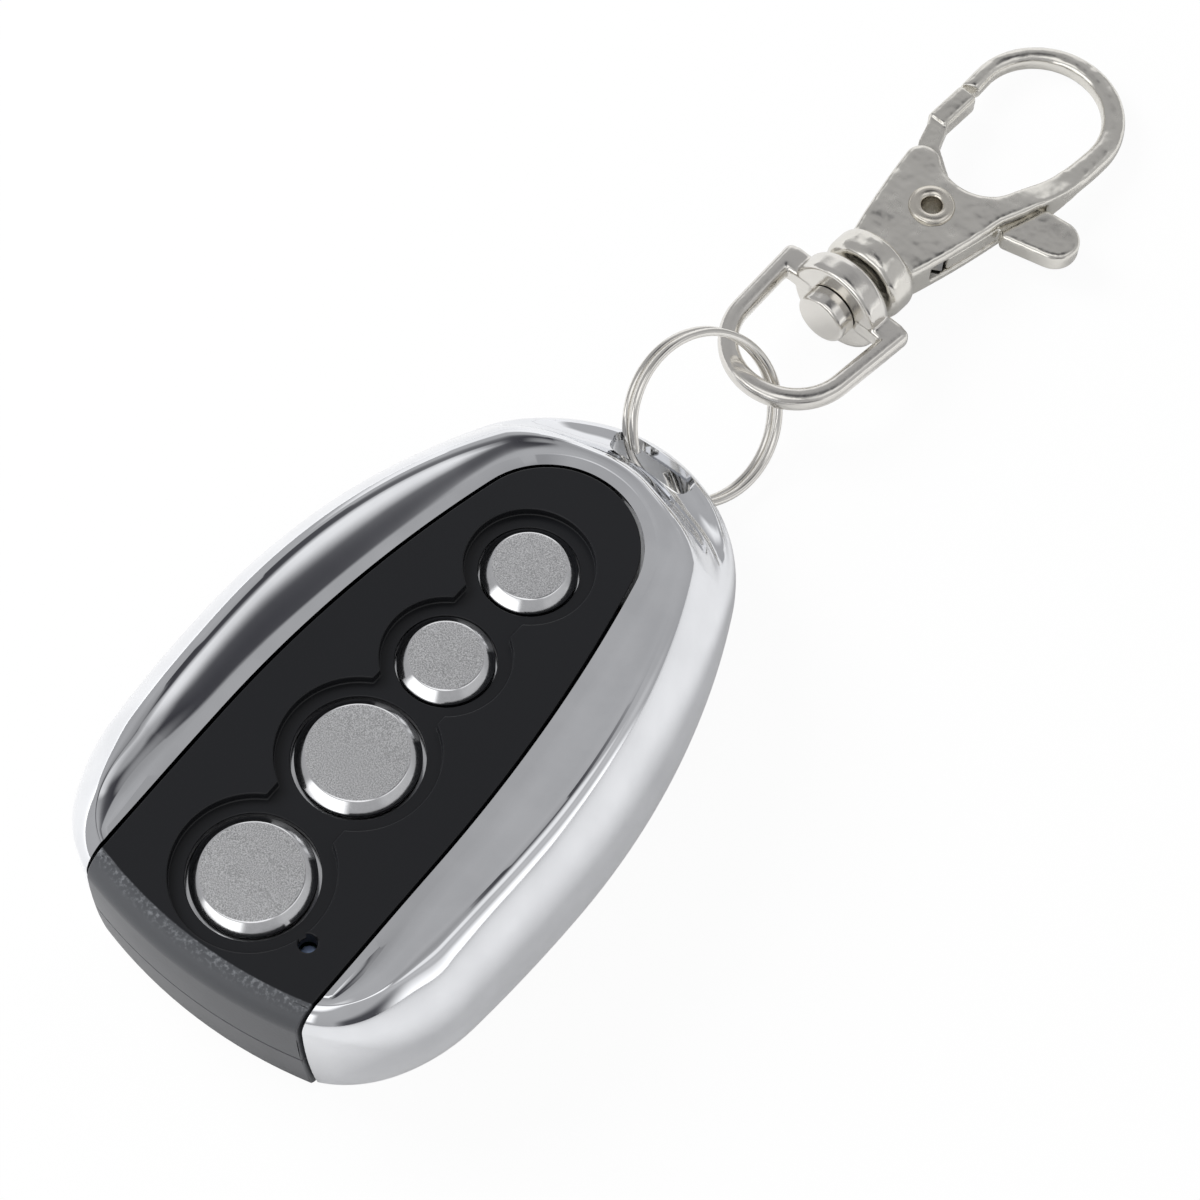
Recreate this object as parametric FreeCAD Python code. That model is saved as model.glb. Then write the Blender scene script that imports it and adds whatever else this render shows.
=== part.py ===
import FreeCAD, Part
import math
import os
from FreeCAD import Placement, Rotation, Vector

os.makedirs("parts", exist_ok=True)

# Gate remote control on a split ring with a swivel clasp, in millimetres.
# Origin: middle of the flat back. +Y runs to the key-ring end, +Z out of the button face.

# Plan outline of the body: an egg made of tangent arcs
half_width = 19.9
widest_y = -5.0
ring_reach = 36.9
tail_reach = 25.5
upper_side_r = 64.0
lower_side_r = 138.0
corner_r = 13.9
tail_r = 43.0

# Heights of the body
panel_z = 15.35
crown_r = 320.0
crown_y = -10.5
equator_z = 7.2
ring_equator_z = 5.9
seam_z = 6.65
seam_gap = 0.15

# Button panel
panel_half_width = 10.95
panel_straight_end_y = -12.0
panel_side_r = 127.0
panel_reach = 35.7
panel_t = 1.75
panel_gap = 0.15
recess_depth = 0.9

# Chrome shoulder and the leaf-shaped facet inside it
crest_inset = 3.8
crest_rise = 1.3
crest_fall_r = 120.0
crest_fall_y = -2.0
bottom_inset = 1.5
ring_bottom_inset = 0.5
edge_round = 0.35
lip_w = 1.1
facet_hollow = 0.28
ridge_inset = 5.8
ridge_rise = 0.15

# Tail end of the casings
tail_draft = 0.95
tail_face_z = 12.65
tail_round = 1.8

# Key-ring bar and its slot
tab_z = 8.2
tab_underside_z = 4.2
tab_round = 1.2
ramp_y = 22.0
slot_length = 7.9
slot_w = 2.1
bar_w = 1.45
bar_bevel_w = 0.6
bar_bevel_h = 0.8

# Wall thicknesses and hidden fits
shell_wall = 3.1
rim_w = 1.0
part_gap = 0.1
cover_t = 1.4
cavity_low_z = 10.35
cavity_low_end_y = 20.0
cavity_high_z = 12.85
cavity_high_inset = 4.8
cavity_high_end_y = 15.5
casing_wall = 1.2
tail_wall = 1.7
flange_t = 0.9

# Buttons, from the tail to the ring end
button_y = (-21.4, -8.3, 2.8, 13.5)
large_r = 5.15
small_r = 4.0
large_recess_r = 6.75
small_recess_r = 5.4
large_fit = 0.3
small_fit = 0.15
button_rise = 0.1
button_chamfer = 0.87
flange_step = 0.7
flange_gap = 0.15
cap_flange_t = 0.5
stem_r = 2.0
button_travel = 0.3
neck_half_widths = (3.4, 3.3, 2.9)

# Status light
led_x = 7.25
led_y = -23.3
led_hole_r = 0.8
led_r = 0.9
led_foot_r = 1.15
led_foot_t = 0.8
led_depth = 1.9

# Circuit board and what it carries
board_z = 8.5
board_t = 1.0
board_inset = 5.4
board_tail_y = -24.9
board_end_y = 17.5
antenna_y = 12.2
switch_side = 5.2
switch_h = 1.5
plunger_r = 1.3
plunger_top_z = 11.5
plunger_fit = 0.1
switch_floor_t = 0.2
coin_r = 10.0
coin_t = 3.2
coin_y = -8.0
coin_face_r = 8.9
coin_face_t = 0.35
clip_t = 0.25
clip_w = 5.0
clip_side_gap = 0.4
pad_r = 4.0
pad_t = 0.35
coin_z = board_z - pad_t - coin_t
post_r = 1.5

# Screws that hold the back cover to the front casing
side_screw_x = half_width - 6.7
side_screw_y = 9.0
tail_screw_x = 6.4
tail_screw_y = -26.2
screw_r = 1.0
screw_head_r = 1.9
screw_head_t = 1.1
screw_length = 8.0
boss_r = 1.75
screw_fit = 0.02

# Split ring: two turns of one wire
ring_wire = 0.7
ring_mean_r = 7.3
ring_turn_gap = 0.42
ring_cross_angle = 16.0
ring_start_angle = -90.0
ring_centre = (0.02, 36.57, 6.25)
ring_tilt = 48.9
ring_yaw = -5.9

# Swivel loop, collar and rivet, along the clasp's own axis
swivel_x = 1.75
swivel_y = 53.89
clasp_lean = 3.6
collar_r = 4.45
collar_u0 = -1.45
collar_rest_u = -0.7
collar_u1 = 1.15
collar_round = 1.0
collar_front_round = 0.45
loop_end_r = 6.4
loop_end_u = -6.65
loop_splay = 3.5
loop_bar_w = 1.75
loop_bar_t = 1.9
loop_arm_u0 = -1.6
loop_arm_u1 = 0.9
loop_round = 0.75
rivet_shank_r = 1.5
rivet_head_r = 2.4
rivet_head_t = 1.75
swivel_fit = 0.08

# Clasp body: neck, slotted plate and hook
neck_gap = 0.72
neck_r = 4.1
neck_round = 0.9
neck_end_u = 4.9
plate_t = 4.0
plate_round = 0.5
plate_half_start = 3.2
plate_half_mid = 4.88
plate_half_end = 5.4
horn_u = 16.2
eye_low_u = 14.85
hook_t = 2.0
hook_round = 0.75
hook_outer_r = 7.3
hook_inner_r = 5.45
hook_centre_u = 26.35
hook_centre_w = 0.2
hook_shift = 0.25
nose_clearance = 0.3
arm_full_u = 18.0
arm_thin_u = 23.2
arm_outer_w = 7.42
arm_inner_w = 5.2
lever_slot_t = 1.9
lever_slot_u0 = 7.0
lever_slot_u1 = 19.2

# Trigger lever and eyelet
pivot_u = 11.3
lever_t = 1.7
lever_boss_r = 2.7
eyelet_r = 1.25
eyelet_bore_r = 0.86
eyelet_lip_r = 2.03
eyelet_lip_t = 0.45
eyelet_fit = 0.06
tab_tip_w = 9.4
tab_tip_u = 16.9
tab_tip_r = 2.15
tab_t = 2.1
gate_w = -5.85
gate_width = 2.0
gate_u0 = 19.2
gate_u1 = 23.35
gate_t = 2.4
trigger_spring_t = 0.35


def arc_point(centre, radius, angle):
    a = math.radians(angle)
    return Vector(centre.x + radius * math.cos(a), centre.y + radius * math.sin(a), centre.z)


def direction(angle):
    return Vector(math.cos(math.radians(angle)), math.sin(math.radians(angle)), 0)


def angle_of(v):
    return math.degrees(math.atan2(v.y, v.x))


def mirrored_x(shape):
    return shape.mirror(Vector(0, 0, 0), Vector(1, 0, 0))


def prism(wire, z_low, z_high):
    face = Part.Face(wire)
    face.translate(Vector(0, 0, z_low))
    return face.extrude(Vector(0, 0, z_high - z_low))


def box(x0, x1, y0, y1, z0, z1):
    return Part.makeBox(x1 - x0, y1 - y0, z1 - z0, Vector(x0, y0, z0))


def cylinder(radius, z0, z1, x=0.0, y=0.0):
    return Part.makeCylinder(radius, z1 - z0, Vector(x, y, z0))


def ease(x):
    x = min(max(x, 0.0), 1.0)
    return x * x * (3.0 - 2.0 * x)


def end_arc(reach, half, side_r):
    # radius of the end circle that is tangent inside a side arc and reaches a given length
    return (side_r**2 - reach**2 - (side_r - half) ** 2) / (2.0 * (side_r - reach))


# Centres and turning angles of the outline arcs, on the right-hand side
end_r = end_arc(ring_reach, half_width, upper_side_r)
tail_y = widest_y - tail_reach
ring_end_y = widest_y + ring_reach
end_c = Vector(0, ring_end_y - end_r, 0)
upper_c = Vector(half_width - upper_side_r, widest_y, 0)
lower_c = Vector(half_width - lower_side_r, widest_y, 0)
tail_c = Vector(0, tail_y + tail_r, 0)


def corner_centre():
    # centre that lies corner_r inside both the lower side arc and the tail arc
    a = lower_side_r - corner_r
    b = tail_r - corner_r
    across = tail_c - lower_c
    span = across.Length
    along = (a * a - b * b + span * span) / (2.0 * span)
    off = math.sqrt(a * a - along * along)
    unit = across / span
    side = Vector(unit.y, -unit.x, 0)
    return lower_c + unit * along + side * off


corner_c = corner_centre()
tail_turn = angle_of(corner_c - tail_c)
corner_turn = angle_of(corner_c - lower_c)
end_turn = angle_of(end_c - upper_c)

panel_end_r = end_arc(panel_reach, panel_half_width, panel_side_r)
panel_end_c = Vector(0, panel_straight_end_y + panel_reach - panel_end_r, 0)
panel_side_c = Vector(panel_half_width - panel_side_r, panel_straight_end_y, 0)
panel_turn = angle_of(panel_end_c - panel_side_c)


def crown_at(y):
    return panel_z - (y - crown_y) ** 2 / (2.0 * crown_r)


def outline_station(phi):
    """Point of the body outline whose outward normal has the plan angle phi (right side)."""
    if phi < tail_turn:
        return arc_point(tail_c, tail_r, phi)
    if phi < corner_turn:
        return arc_point(corner_c, corner_r, phi)
    if phi < 0:
        return arc_point(lower_c, lower_side_r, phi)
    if phi < end_turn:
        return arc_point(upper_c, upper_side_r, phi)
    return arc_point(end_c, end_r, phi)


def body_outline(inset):
    """Closed egg outline, drawn in by inset."""
    spans = (
        (tail_c, tail_r, tail_turn, -180 - tail_turn),
        (corner_c, corner_r, corner_turn, tail_turn),
        (lower_c, lower_side_r, 0, corner_turn),
        (upper_c, upper_side_r, end_turn, 0),
    )
    edges = []
    tail = spans[0]
    edges.append(arc_edge(tail[0], tail[1] - inset, tail[2], -90, tail[3]))
    right = []
    for centre, radius, a1, a0 in spans[1:]:
        right.append(arc_edge(centre, radius - inset, a0, (a0 + a1) / 2.0, a1))
    edges += right
    edges.append(arc_edge(end_c, end_r - inset, end_turn, 90, 180 - end_turn))
    edges += [mirrored_x(e) for e in right]
    return Part.Wire(Part.__sortEdges__(edges))


def arc_edge(centre, radius, a0, a1, a2):
    points = [arc_point(centre, radius, a) for a in (a0, a1, a2)]
    return Part.Arc(*points).toShape()


def panel_outline(grow, tail_end_y):
    """Panel outline grown outwards, with straight sides down to tail_end_y."""
    w = panel_half_width + grow
    side_mid = panel_turn / 2.0
    side = arc_edge(panel_side_c, panel_side_r + grow, 0, side_mid, panel_turn)
    end = arc_edge(panel_end_c, panel_end_r + grow, panel_turn, 90, 180 - panel_turn)
    low = Part.LineSegment(Vector(w, tail_end_y, 0), Vector(w, panel_straight_end_y, 0)).toShape()
    base = Part.LineSegment(Vector(-w, tail_end_y, 0), Vector(w, tail_end_y, 0)).toShape()
    edges = [base, low, side, end, mirrored_x(side), mirrored_x(low)]
    return Part.Wire(Part.__sortEdges__(edges))


def outside_panel(p):
    """How far a plan point lies outside the panel outline."""
    if p.y < panel_straight_end_y:
        return p.x - panel_half_width
    on_side = (p - panel_side_c).Length - panel_side_r
    if angle_of(p - panel_end_c) > panel_turn:
        return (p - panel_end_c).Length - panel_end_r
    return on_side


def inset_to_panel(phi):
    """Distance from the body outline, along its normal, to the panel's edge."""
    start = outline_station(phi)
    inward = direction(phi) * -1.0
    low, high = 0.0, 12.0
    for _ in range(40):
        mid = (low + high) / 2.0
        if outside_panel(start + inward * mid) > 0:
            low = mid
        else:
            high = mid
    return low


def crest_height(y):
    fall = max(y - crest_fall_y, 0.0) ** 2 / (2.0 * crest_fall_r)
    rise = crest_rise + (panel_z - crown_at(y))
    toward_tail = ease((-12.0 - y) / 15.2)
    height = panel_z + crest_rise - fall
    if y < crest_fall_y:
        height -= toward_tail * (rise - 0.05)
    return max(height, crown_at(y) + ridge_rise) if y > 0 else height


def shoulder_points(phi):
    """Key points of the chrome section at one station: (inset, height) and edge directions."""
    to_tail = 1.0 - ease((phi + 64.0) / 46.0)
    to_ring = ease((phi - 12.0) / 52.0)
    to_crest = ease((phi + 62.0) / 52.0)
    inset = tail_round + (crest_inset - tail_round) * to_crest
    inset += (ridge_inset - crest_inset) * ease((phi - 15.0) / 60.0)
    start = outline_station(phi)
    crest_z = crest_height(start.y - inset * math.sin(math.radians(phi)))
    widest_z = equator_z + (ring_equator_z - equator_z) * ease((phi + 10.0) / 60.0)
    widest_z += (tail_face_z - widest_z) * to_tail
    # on the sides the shoulder is one round arc, halved at the knee
    full = 2.0 * math.atan2(inset, crest_z - widest_z)
    radius = (crest_z - widest_z) / math.sin(full)
    half = full / 2.0
    knee = [radius * (1.0 - math.cos(half)), widest_z + radius * math.sin(half)]
    handle = 4.0 / 3.0 * math.tan(half / 4.0) * radius
    knee_dir = (math.sin(half), math.cos(half))
    crest_dir = (math.sin(full), math.cos(full))
    # at the ring end it is a low bar, then a hollow that climbs to the ridge
    bar = {"knee": (tab_round, tab_z), "dir": (1.0, 0.02), "crest": (0.45, 0.89)}
    knee = [k + (b - k) * to_ring for k, b in zip(knee, bar["knee"])]
    knee_dir = [k + (b - k) * to_ring for k, b in zip(knee_dir, bar["dir"])]
    crest_dir = [k + (b - k) * to_ring for k, b in zip(crest_dir, bar["crest"])]
    handles = {
        "low": handle + (1.25 - handle) * to_ring,
        "knee_in": handle + (0.65 - handle) * to_ring,
        "knee_out": handle + (2.4 - handle) * to_ring,
        "crest": handle + (3.4 - handle) * to_ring,
    }
    return inset, crest_z, widest_z, knee, knee_dir, crest_dir, handles, to_tail


def lower_poles(low_inset, top_z):
    """Poles of the wall below its widest point, upright first and then drawn in."""
    return ((0, top_z), (0, top_z * 0.55), (low_inset * 0.7, edge_round + 1.6), (low_inset, edge_round))


def bezier(points):
    curve = Part.BezierCurve()
    curve.setPoles(points)
    return curve.toShape()


def shell_section(phi, flip):
    """Closed section wire of the chrome shell in the plane square to the outline."""
    inset, crest_z, widest_z, knee, knee_dir, crest_dir, handles, to_tail = shoulder_points(phi)
    start = outline_station(phi)
    inward = direction(phi) * -1.0
    y_lip = (start + inward * (inset + 1.0)).y
    to_panel = inset_to_panel(phi)
    lip = max(to_panel - lip_w, inset + 0.8)
    inner = max(to_panel, lip) + 1.2
    lip_z = min(crown_at(y_lip), crest_z)
    low_inset = bottom_inset + (ring_bottom_inset - bottom_inset) * ease(phi / 40.0)
    low_inset += (tail_draft - low_inset) * to_tail

    def at(d, z):
        p = start + inward * d
        return Vector(-p.x if flip else p.x, p.y, z)

    knee_a = (knee[0] - knee_dir[0] * handles["knee_in"], knee[1] - knee_dir[1] * handles["knee_in"])
    knee_b = (knee[0] + knee_dir[0] * handles["knee_out"], knee[1] + knee_dir[1] * handles["knee_out"])
    crest_a = (inset - crest_dir[0] * handles["crest"], crest_z - crest_dir[1] * handles["crest"])
    mid = ((inset + lip) / 2.0, (crest_z + lip_z) / 2.0 - facet_hollow * min(1.0, (lip - inset) / 3.0))
    edges = [
        Part.LineSegment(at(inner, 0), at(inner, lip_z)).toShape(),
        Part.LineSegment(at(inner, lip_z), at(lip, lip_z)).toShape(),
        bezier([at(lip, lip_z), at(2 * mid[0] - (inset + lip) / 2.0, 2 * mid[1] - (crest_z + lip_z) / 2.0),
                at(inset, crest_z)]),
        bezier([at(inset, crest_z), at(*crest_a), at(*knee_b), at(*knee)]),
        bezier([at(*knee), at(*knee_a), at(0, widest_z + handles["low"]), at(0, widest_z)]),
        bezier([at(d, z) for d, z in lower_poles(low_inset, widest_z)]),
        bezier([at(low_inset, edge_round), at(low_inset + 0.05, 0), at(low_inset + edge_round, 0)]),
        Part.LineSegment(at(low_inset + edge_round, 0), at(inner, 0)).toShape(),
    ]
    return Part.Wire(edges)


def shell_stations():
    corner = [-78, -70, -62, -54, -46, -38, -30, -22, -14]
    side = [corner_turn, corner_turn / 2.0, 0.01] + [end_turn * k / 7.0 for k in range(1, 8)]
    end = [end_turn + (90 - end_turn) * k / 6.0 for k in range(1, 7)]
    return corner + side + end


def shell_blank():
    stations = shell_stations()
    wires = [shell_section(phi, False) for phi in stations]
    wires += [shell_section(phi, True) for phi in reversed(stations[:-1])]
    return Part.makeLoft(wires, True, False, False)


def slot_cutter(grow, z0, z1):
    """Stadium prism of the key-ring slot."""
    r = slot_w / 2.0 + grow
    y = ring_end_y - bar_w - slot_w / 2.0
    half = slot_length / 2.0 - slot_w / 2.0
    cutter = box(-half, half, y - r, y + r, z0, z1)
    for x in (-half, half):
        cutter = cutter.fuse(cylinder(r, z0, z1, x, y))
    return cutter.removeSplitter()


def bar_bevel():
    """Bevel along the slot's rim on the bar's side, where the split ring leans over it."""
    y = ring_end_y - bar_w - slot_w / 2.0
    low = slot_cutter(0, tab_z - bar_bevel_h, tab_z + 3.0)
    rims = []
    for grow, z in ((0.0, tab_z - bar_bevel_h), (bar_bevel_w, tab_z + 0.05)):
        r = slot_w / 2.0 + grow
        half = slot_length / 2.0 - slot_w / 2.0
        edges = [
            Part.LineSegment(Vector(-half, y - r, z), Vector(half, y - r, z)).toShape(),
            Part.Arc(Vector(half, y - r, z), Vector(half + r, y, z), Vector(half, y + r, z)).toShape(),
            Part.LineSegment(Vector(half, y + r, z), Vector(-half, y + r, z)).toShape(),
            Part.Arc(Vector(-half, y + r, z), Vector(-half - r, y, z), Vector(-half, y - r, z)).toShape(),
        ]
        rims.append(Part.Wire(edges))
    flare = Part.makeLoft(rims, True, True)
    return flare.common(box(-30, 30, y, y + 5, 0, 20)).fuse(low)


def chrome_shell():
    shell = shell_blank()
    opening = prism(panel_outline(panel_gap, tail_y - 10.0), -1.0, panel_z + 5.0)
    rebate = prism(body_outline(bottom_inset + rim_w), -1.0, cover_t)
    rebate = rebate.common(box(-30, 30, -40, ramp_y - 1.0, -2, 10))
    low = prism(body_outline(shell_wall), cover_t - 0.5, cavity_low_z)
    low = low.common(box(-30, 30, -40, cavity_low_end_y, 0, 20))
    high = prism(body_outline(cavity_high_inset), cavity_low_z - 0.5, cavity_high_z)
    high = high.common(box(-30, 30, -40, cavity_high_end_y, 0, 20))
    ramp_end = ring_end_y - bar_w - slot_w - 1.0
    ramp = Part.makePolygon([
        Vector(0, ramp_y, -1), Vector(0, ramp_y, 0), Vector(0, ramp_end, tab_underside_z),
        Vector(0, ring_end_y + 5, tab_underside_z), Vector(0, ring_end_y + 5, -1), Vector(0, ramp_y, -1),
    ])
    ramp = Part.Face(ramp).extrude(Vector(60, 0, 0))
    ramp.translate(Vector(-30, 0, 0))
    shell = shell.cut(opening).cut(rebate.fuse([low, high])).cut(ramp)
    for x, y in screw_places()[:2]:
        shell = shell.cut(cylinder(boss_r + part_gap, 0, cavity_high_z, x, y))
    return shell.cut(slot_cutter(0, 0, 20)).cut(bar_bevel())


def crown_cylinder(depth):
    """Everything below the crowned panel surface, lowered by depth."""
    radius = crown_r - depth
    solid = Part.makeCylinder(radius, 80, Vector(-40, crown_y, panel_z - crown_r), Vector(1, 0, 0))
    return solid.common(box(-40, 40, -60, 60, -5, 30))


def tail_turned(inset):
    """Solid turned about the tail arc's centre: drafted end face and rounded top edge."""
    r = tail_r - inset
    top = crown_at(tail_y + tail_round) + 0.05
    face = [Vector(r - d, 0, z) for d, z in reversed(lower_poles(tail_draft, tail_face_z))]
    pts = [
        Vector(0, 0, 0),
        Vector(r - tail_draft - edge_round, 0, 0),
        Vector(r - tail_draft, 0, edge_round),
        Vector(r, 0, tail_face_z),
        Vector(r - tail_round, 0, top),
        Vector(0, 0, top + 9.0),
    ]
    reach = math.hypot(tail_round, top - tail_face_z)
    mid = Vector(r - tail_round * 0.28, 0, tail_face_z + (top - tail_face_z) * 0.65)
    edges = [
        Part.LineSegment(pts[0], pts[1]).toShape(),
        Part.LineSegment(pts[1], pts[2]).toShape(),
        bezier(face),
        Part.Arc(pts[3], mid, pts[4]).toShape(),
        Part.LineSegment(pts[4], Vector(r - tail_round - reach, 0, top + reach)).toShape(),
        Part.LineSegment(Vector(r - tail_round - reach, 0, top + reach), pts[5]).toShape(),
        Part.LineSegment(pts[5], pts[0]).toShape(),
    ]
    solid = Part.Face(Part.Wire(edges)).revolve(Vector(0, 0, 0), Vector(0, 0, 1), 360)
    solid.translate(tail_c)
    return solid


def tail_pocket(inset):
    """Everything inside the tail wall."""
    return Part.makeCylinder(tail_r - inset, 30, Vector(tail_c.x, tail_c.y, -5))


def recess_cutter():
    """Four joined discs with narrow necks, sunk from the panel's surface."""
    radii = (large_recess_r, large_recess_r, small_recess_r, small_recess_r)
    cutter = None
    for y, r in zip(button_y, radii):
        disc = cylinder(r, 0, 30, 0, y)
        cutter = disc if cutter is None else cutter.fuse(disc)
    for k, half in enumerate(neck_half_widths):
        cutter = cutter.fuse(box(-half, half, button_y[k], button_y[k + 1], 0, 30))
    cutter = cutter.removeSplitter()
    return cutter.cut(crown_cylinder(recess_depth))


def button_frame(y):
    """Placement whose local Z leaves the panel squarely at y."""
    slope = -math.degrees(math.asin((y - crown_y) / crown_r))
    return Placement(Vector(0, y, crown_at(y)), Rotation(Vector(1, 0, 0), slope))


def button_size(k):
    return (large_r, large_fit) if k < 2 else (small_r, small_fit)


def screw_places():
    return ((-side_screw_x, side_screw_y), (side_screw_x, side_screw_y),
            (-tail_screw_x, tail_screw_y), (tail_screw_x, tail_screw_y))


def front_casing():
    outer = prism(panel_outline(-panel_gap, tail_y - 5.0), 0, panel_z + 3.0)
    outer = outer.common(crown_cylinder(0)).common(tail_turned(0))
    inner = prism(panel_outline(-panel_gap - casing_wall, tail_y - 10.0), -1, panel_z + 3.0)
    inner = inner.common(crown_cylinder(panel_t)).common(tail_pocket(tail_wall))
    walls_z = cavity_high_z - part_gap - flange_t
    tail_zone_y = tail_y + 8.0
    casing = outer.cut(inner)
    casing = casing.cut(box(-30, 30, -60, 60, -5, seam_z + seam_gap))
    casing = casing.cut(box(-30, 30, tail_zone_y, 60, -5, walls_z))
    flange = prism(body_outline(cavity_high_inset + part_gap), walls_z, walls_z + flange_t)
    flange = flange.common(box(-30, 30, tail_zone_y, cavity_high_end_y - part_gap, 0, 20))
    flange = flange.cut(prism(panel_outline(-panel_gap - casing_wall, tail_y), 0, 20))
    casing = casing.fuse(flange)
    for x, y in screw_places():
        foot = cover_t + 0.3
        top = walls_z + flange_t / 2.0 if y > 0 else crown_at(y) - panel_t / 2.0
        casing = casing.fuse(cylinder(boss_r, foot, top, x, y))
        casing = casing.cut(cylinder(screw_r + screw_fit, foot - 1, screw_length + 0.5, x, y))
    casing = casing.removeSplitter().cut(recess_cutter())
    for k, y in enumerate(button_y):
        radius, fit = button_size(k)
        hole = Part.makeCylinder(radius + fit, 12, Vector(0, 0, -6))
        hole.Placement = button_frame(y)
        casing = casing.cut(hole)
    return casing.cut(cylinder(led_hole_r, board_z + 3.0, 20, led_x, led_y))


def back_cover():
    plate = prism(body_outline(bottom_inset + rim_w + part_gap), 0, cover_t)
    plate = plate.common(box(-30, 30, -60, ramp_y - 1.0 - part_gap, -1, 10))
    plate = plate.common(box(-30, 30, tail_y + 5.0, 60, -1, 10))
    tail = prism(panel_outline(-panel_gap, tail_y - 5.0), 0, seam_z)
    tail = tail.common(tail_turned(0)).common(box(-30, 30, -60, tail_y + 8.0, -1, 10))
    hollow = prism(panel_outline(-panel_gap - casing_wall, tail_y - 10.0), cover_t, 20)
    tail = tail.cut(hollow.common(tail_pocket(tail_wall)))
    cover = plate.fuse(tail)
    for x, y in ((-11.0, -19.0), (11.0, -19.0), (-9.0, 14.0), (9.0, 14.0)):
        cover = cover.fuse(cylinder(post_r, cover_t - 0.5, board_z, x, y))
    for x, y in screw_places():
        cover = cover.cut(cylinder(screw_r + part_gap, -1, cover_t + 5, x, y))
        head = Part.makeCone(screw_head_r + part_gap, screw_r + part_gap, screw_head_t, Vector(x, y, 0))
        cover = cover.cut(head)
    return cover.removeSplitter()


def cover_screws():
    screws = []
    for x, y in screw_places():
        head = Part.makeCone(screw_head_r, screw_r, screw_head_t, Vector(x, y, 0))
        head = head.fuse(cylinder(screw_r, screw_head_t, screw_length, x, y)).removeSplitter()
        for turn in (0, 90):
            bit = box(-1.0, 1.0, -0.18, 0.18, -0.1, 0.55)
            bit.Placement = Placement(Vector(x, y, 0), Rotation(Vector(0, 0, 1), turn))
            head = head.cut(bit)
        screws.append(head)
    return Part.makeCompound(screws)


def button_cap(k):
    """Metal cap with a bevelled rim, a retaining flange under the panel and a stem."""
    radius, _ = button_size(k)
    y = button_y[k]
    under = -panel_t - flange_gap
    low = under - cap_flange_t
    profile = Part.makePolygon([
        Vector(0, 0, low - 4), Vector(stem_r, 0, low - 4), Vector(stem_r, 0, low),
        Vector(radius + flange_step, 0, low), Vector(radius + flange_step, 0, under),
        Vector(radius, 0, under), Vector(radius, 0, button_rise - button_chamfer),
        Vector(radius - button_chamfer, 0, button_rise), Vector(0, 0, button_rise),
        Vector(0, 0, low - 4),
    ])
    cap = Part.Face(profile).revolve(Vector(0, 0, 0), Vector(0, 0, 1), 360)
    cap.Placement = button_frame(y)
    return cap.common(box(-20, 20, -60, 60, plunger_top_z, 40))


def switch_plunger(k):
    low = board_z + board_t + switch_floor_t + button_travel + 0.1
    return cylinder(plunger_r, low, plunger_top_z, 0, button_y[k])


def tact_switch(k):
    z = board_z + board_t
    half = switch_side / 2.0
    y = button_y[k]
    body = box(-half, half, y - half, y + half, z, z + switch_h)
    upright = [e for e in body.Edges if abs(e.tangentAt(e.FirstParameter).z) > 0.9]
    body = body.makeChamfer(0.6, upright)
    for sx in (-1, 1):
        for sy in (-1, 1):
            x = sx * (half + 0.25)
            lead = box(x - 0.35, x + 0.35, y + sy * 1.4 - 0.35, y + sy * 1.4 + 0.35, z, z + 0.3)
            body = body.fuse(lead)
    well = cylinder(plunger_r + plunger_fit, z + switch_floor_t, z + 10, 0, y)
    return body.cut(well).removeSplitter()


def circuit_board():
    board = prism(body_outline(board_inset), board_z, board_z + board_t)
    board = board.common(box(-30, 30, board_tail_y, board_end_y, 0, 20))
    tail = box(-panel_half_width + panel_gap + casing_wall + 0.2, panel_half_width - panel_gap - casing_wall
               - 0.2, -60, tail_y + 8.4, 0, 20)
    wide = box(-30, 30, tail_y + 8.4, 60, 0, 20)
    board = board.common(tail.fuse(wide))
    for x, y in screw_places():
        board = board.cut(cylinder(boss_r + 0.3, 0, 20, x, y))
    return board


def status_led():
    z = board_z + board_t
    top = crown_at(led_y) - led_depth
    body = cylinder(led_foot_r, z, z + led_foot_t, led_x, led_y)
    body = body.fuse(cylinder(led_r, z, top - led_r, led_x, led_y))
    dome = Part.makeSphere(led_r, Vector(led_x, led_y, top - led_r))
    return body.fuse(dome).removeSplitter()


def board_block(x, y, length, width, height, leads):
    """Moulded component on the board, with leads out of its two long sides."""
    z = board_z + board_t
    block = box(x - width / 2, x + width / 2, y - length / 2, y + length / 2, z + 0.1, z + height)
    pitch = length / (leads + 1.0)
    for k in range(leads):
        yk = y - length / 2 + pitch * (k + 1)
        half = width / 2 + 0.8
        block = block.fuse(box(x - half, x + half, yk - 0.2, yk + 0.2, z, z + 0.35))
    return block.removeSplitter()


def resonator_can():
    z = board_z + board_t
    can = cylinder(2.3, z, z + 1.6, -9.0, -15.0).fuse(cylinder(2.8, z, z + 0.3, -9.0, -15.0))
    return can.removeSplitter()


def antenna_loop():
    """Raised copper track across the ring end of the board."""
    z = board_z + board_t
    track = prism(body_outline(board_inset + 0.8), z, z + 0.1).cut(prism(body_outline(board_inset + 2.0), 0, 20))
    track = track.common(box(-30, 30, antenna_y, board_end_y - 0.4, 0, 20))
    bridge = prism(body_outline(board_inset + 0.8), z, z + 0.1)
    bridge = bridge.common(box(-30, 30, board_end_y - 1.1, board_end_y - 0.4, 0, 20))
    return track.fuse(bridge).removeSplitter()


def coin_cell():
    z = coin_z
    can = cylinder(coin_r, z, z + coin_t - coin_face_t, 0, coin_y)
    rims = [e for e in can.Edges if e.Curve.TypeId == "Part::GeomCircle"]
    can = can.makeFillet(0.5, rims)
    face = cylinder(coin_face_r, z + coin_t - coin_face_t - 0.1, z + coin_t, 0, coin_y)
    return can.fuse(face).removeSplitter()


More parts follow.
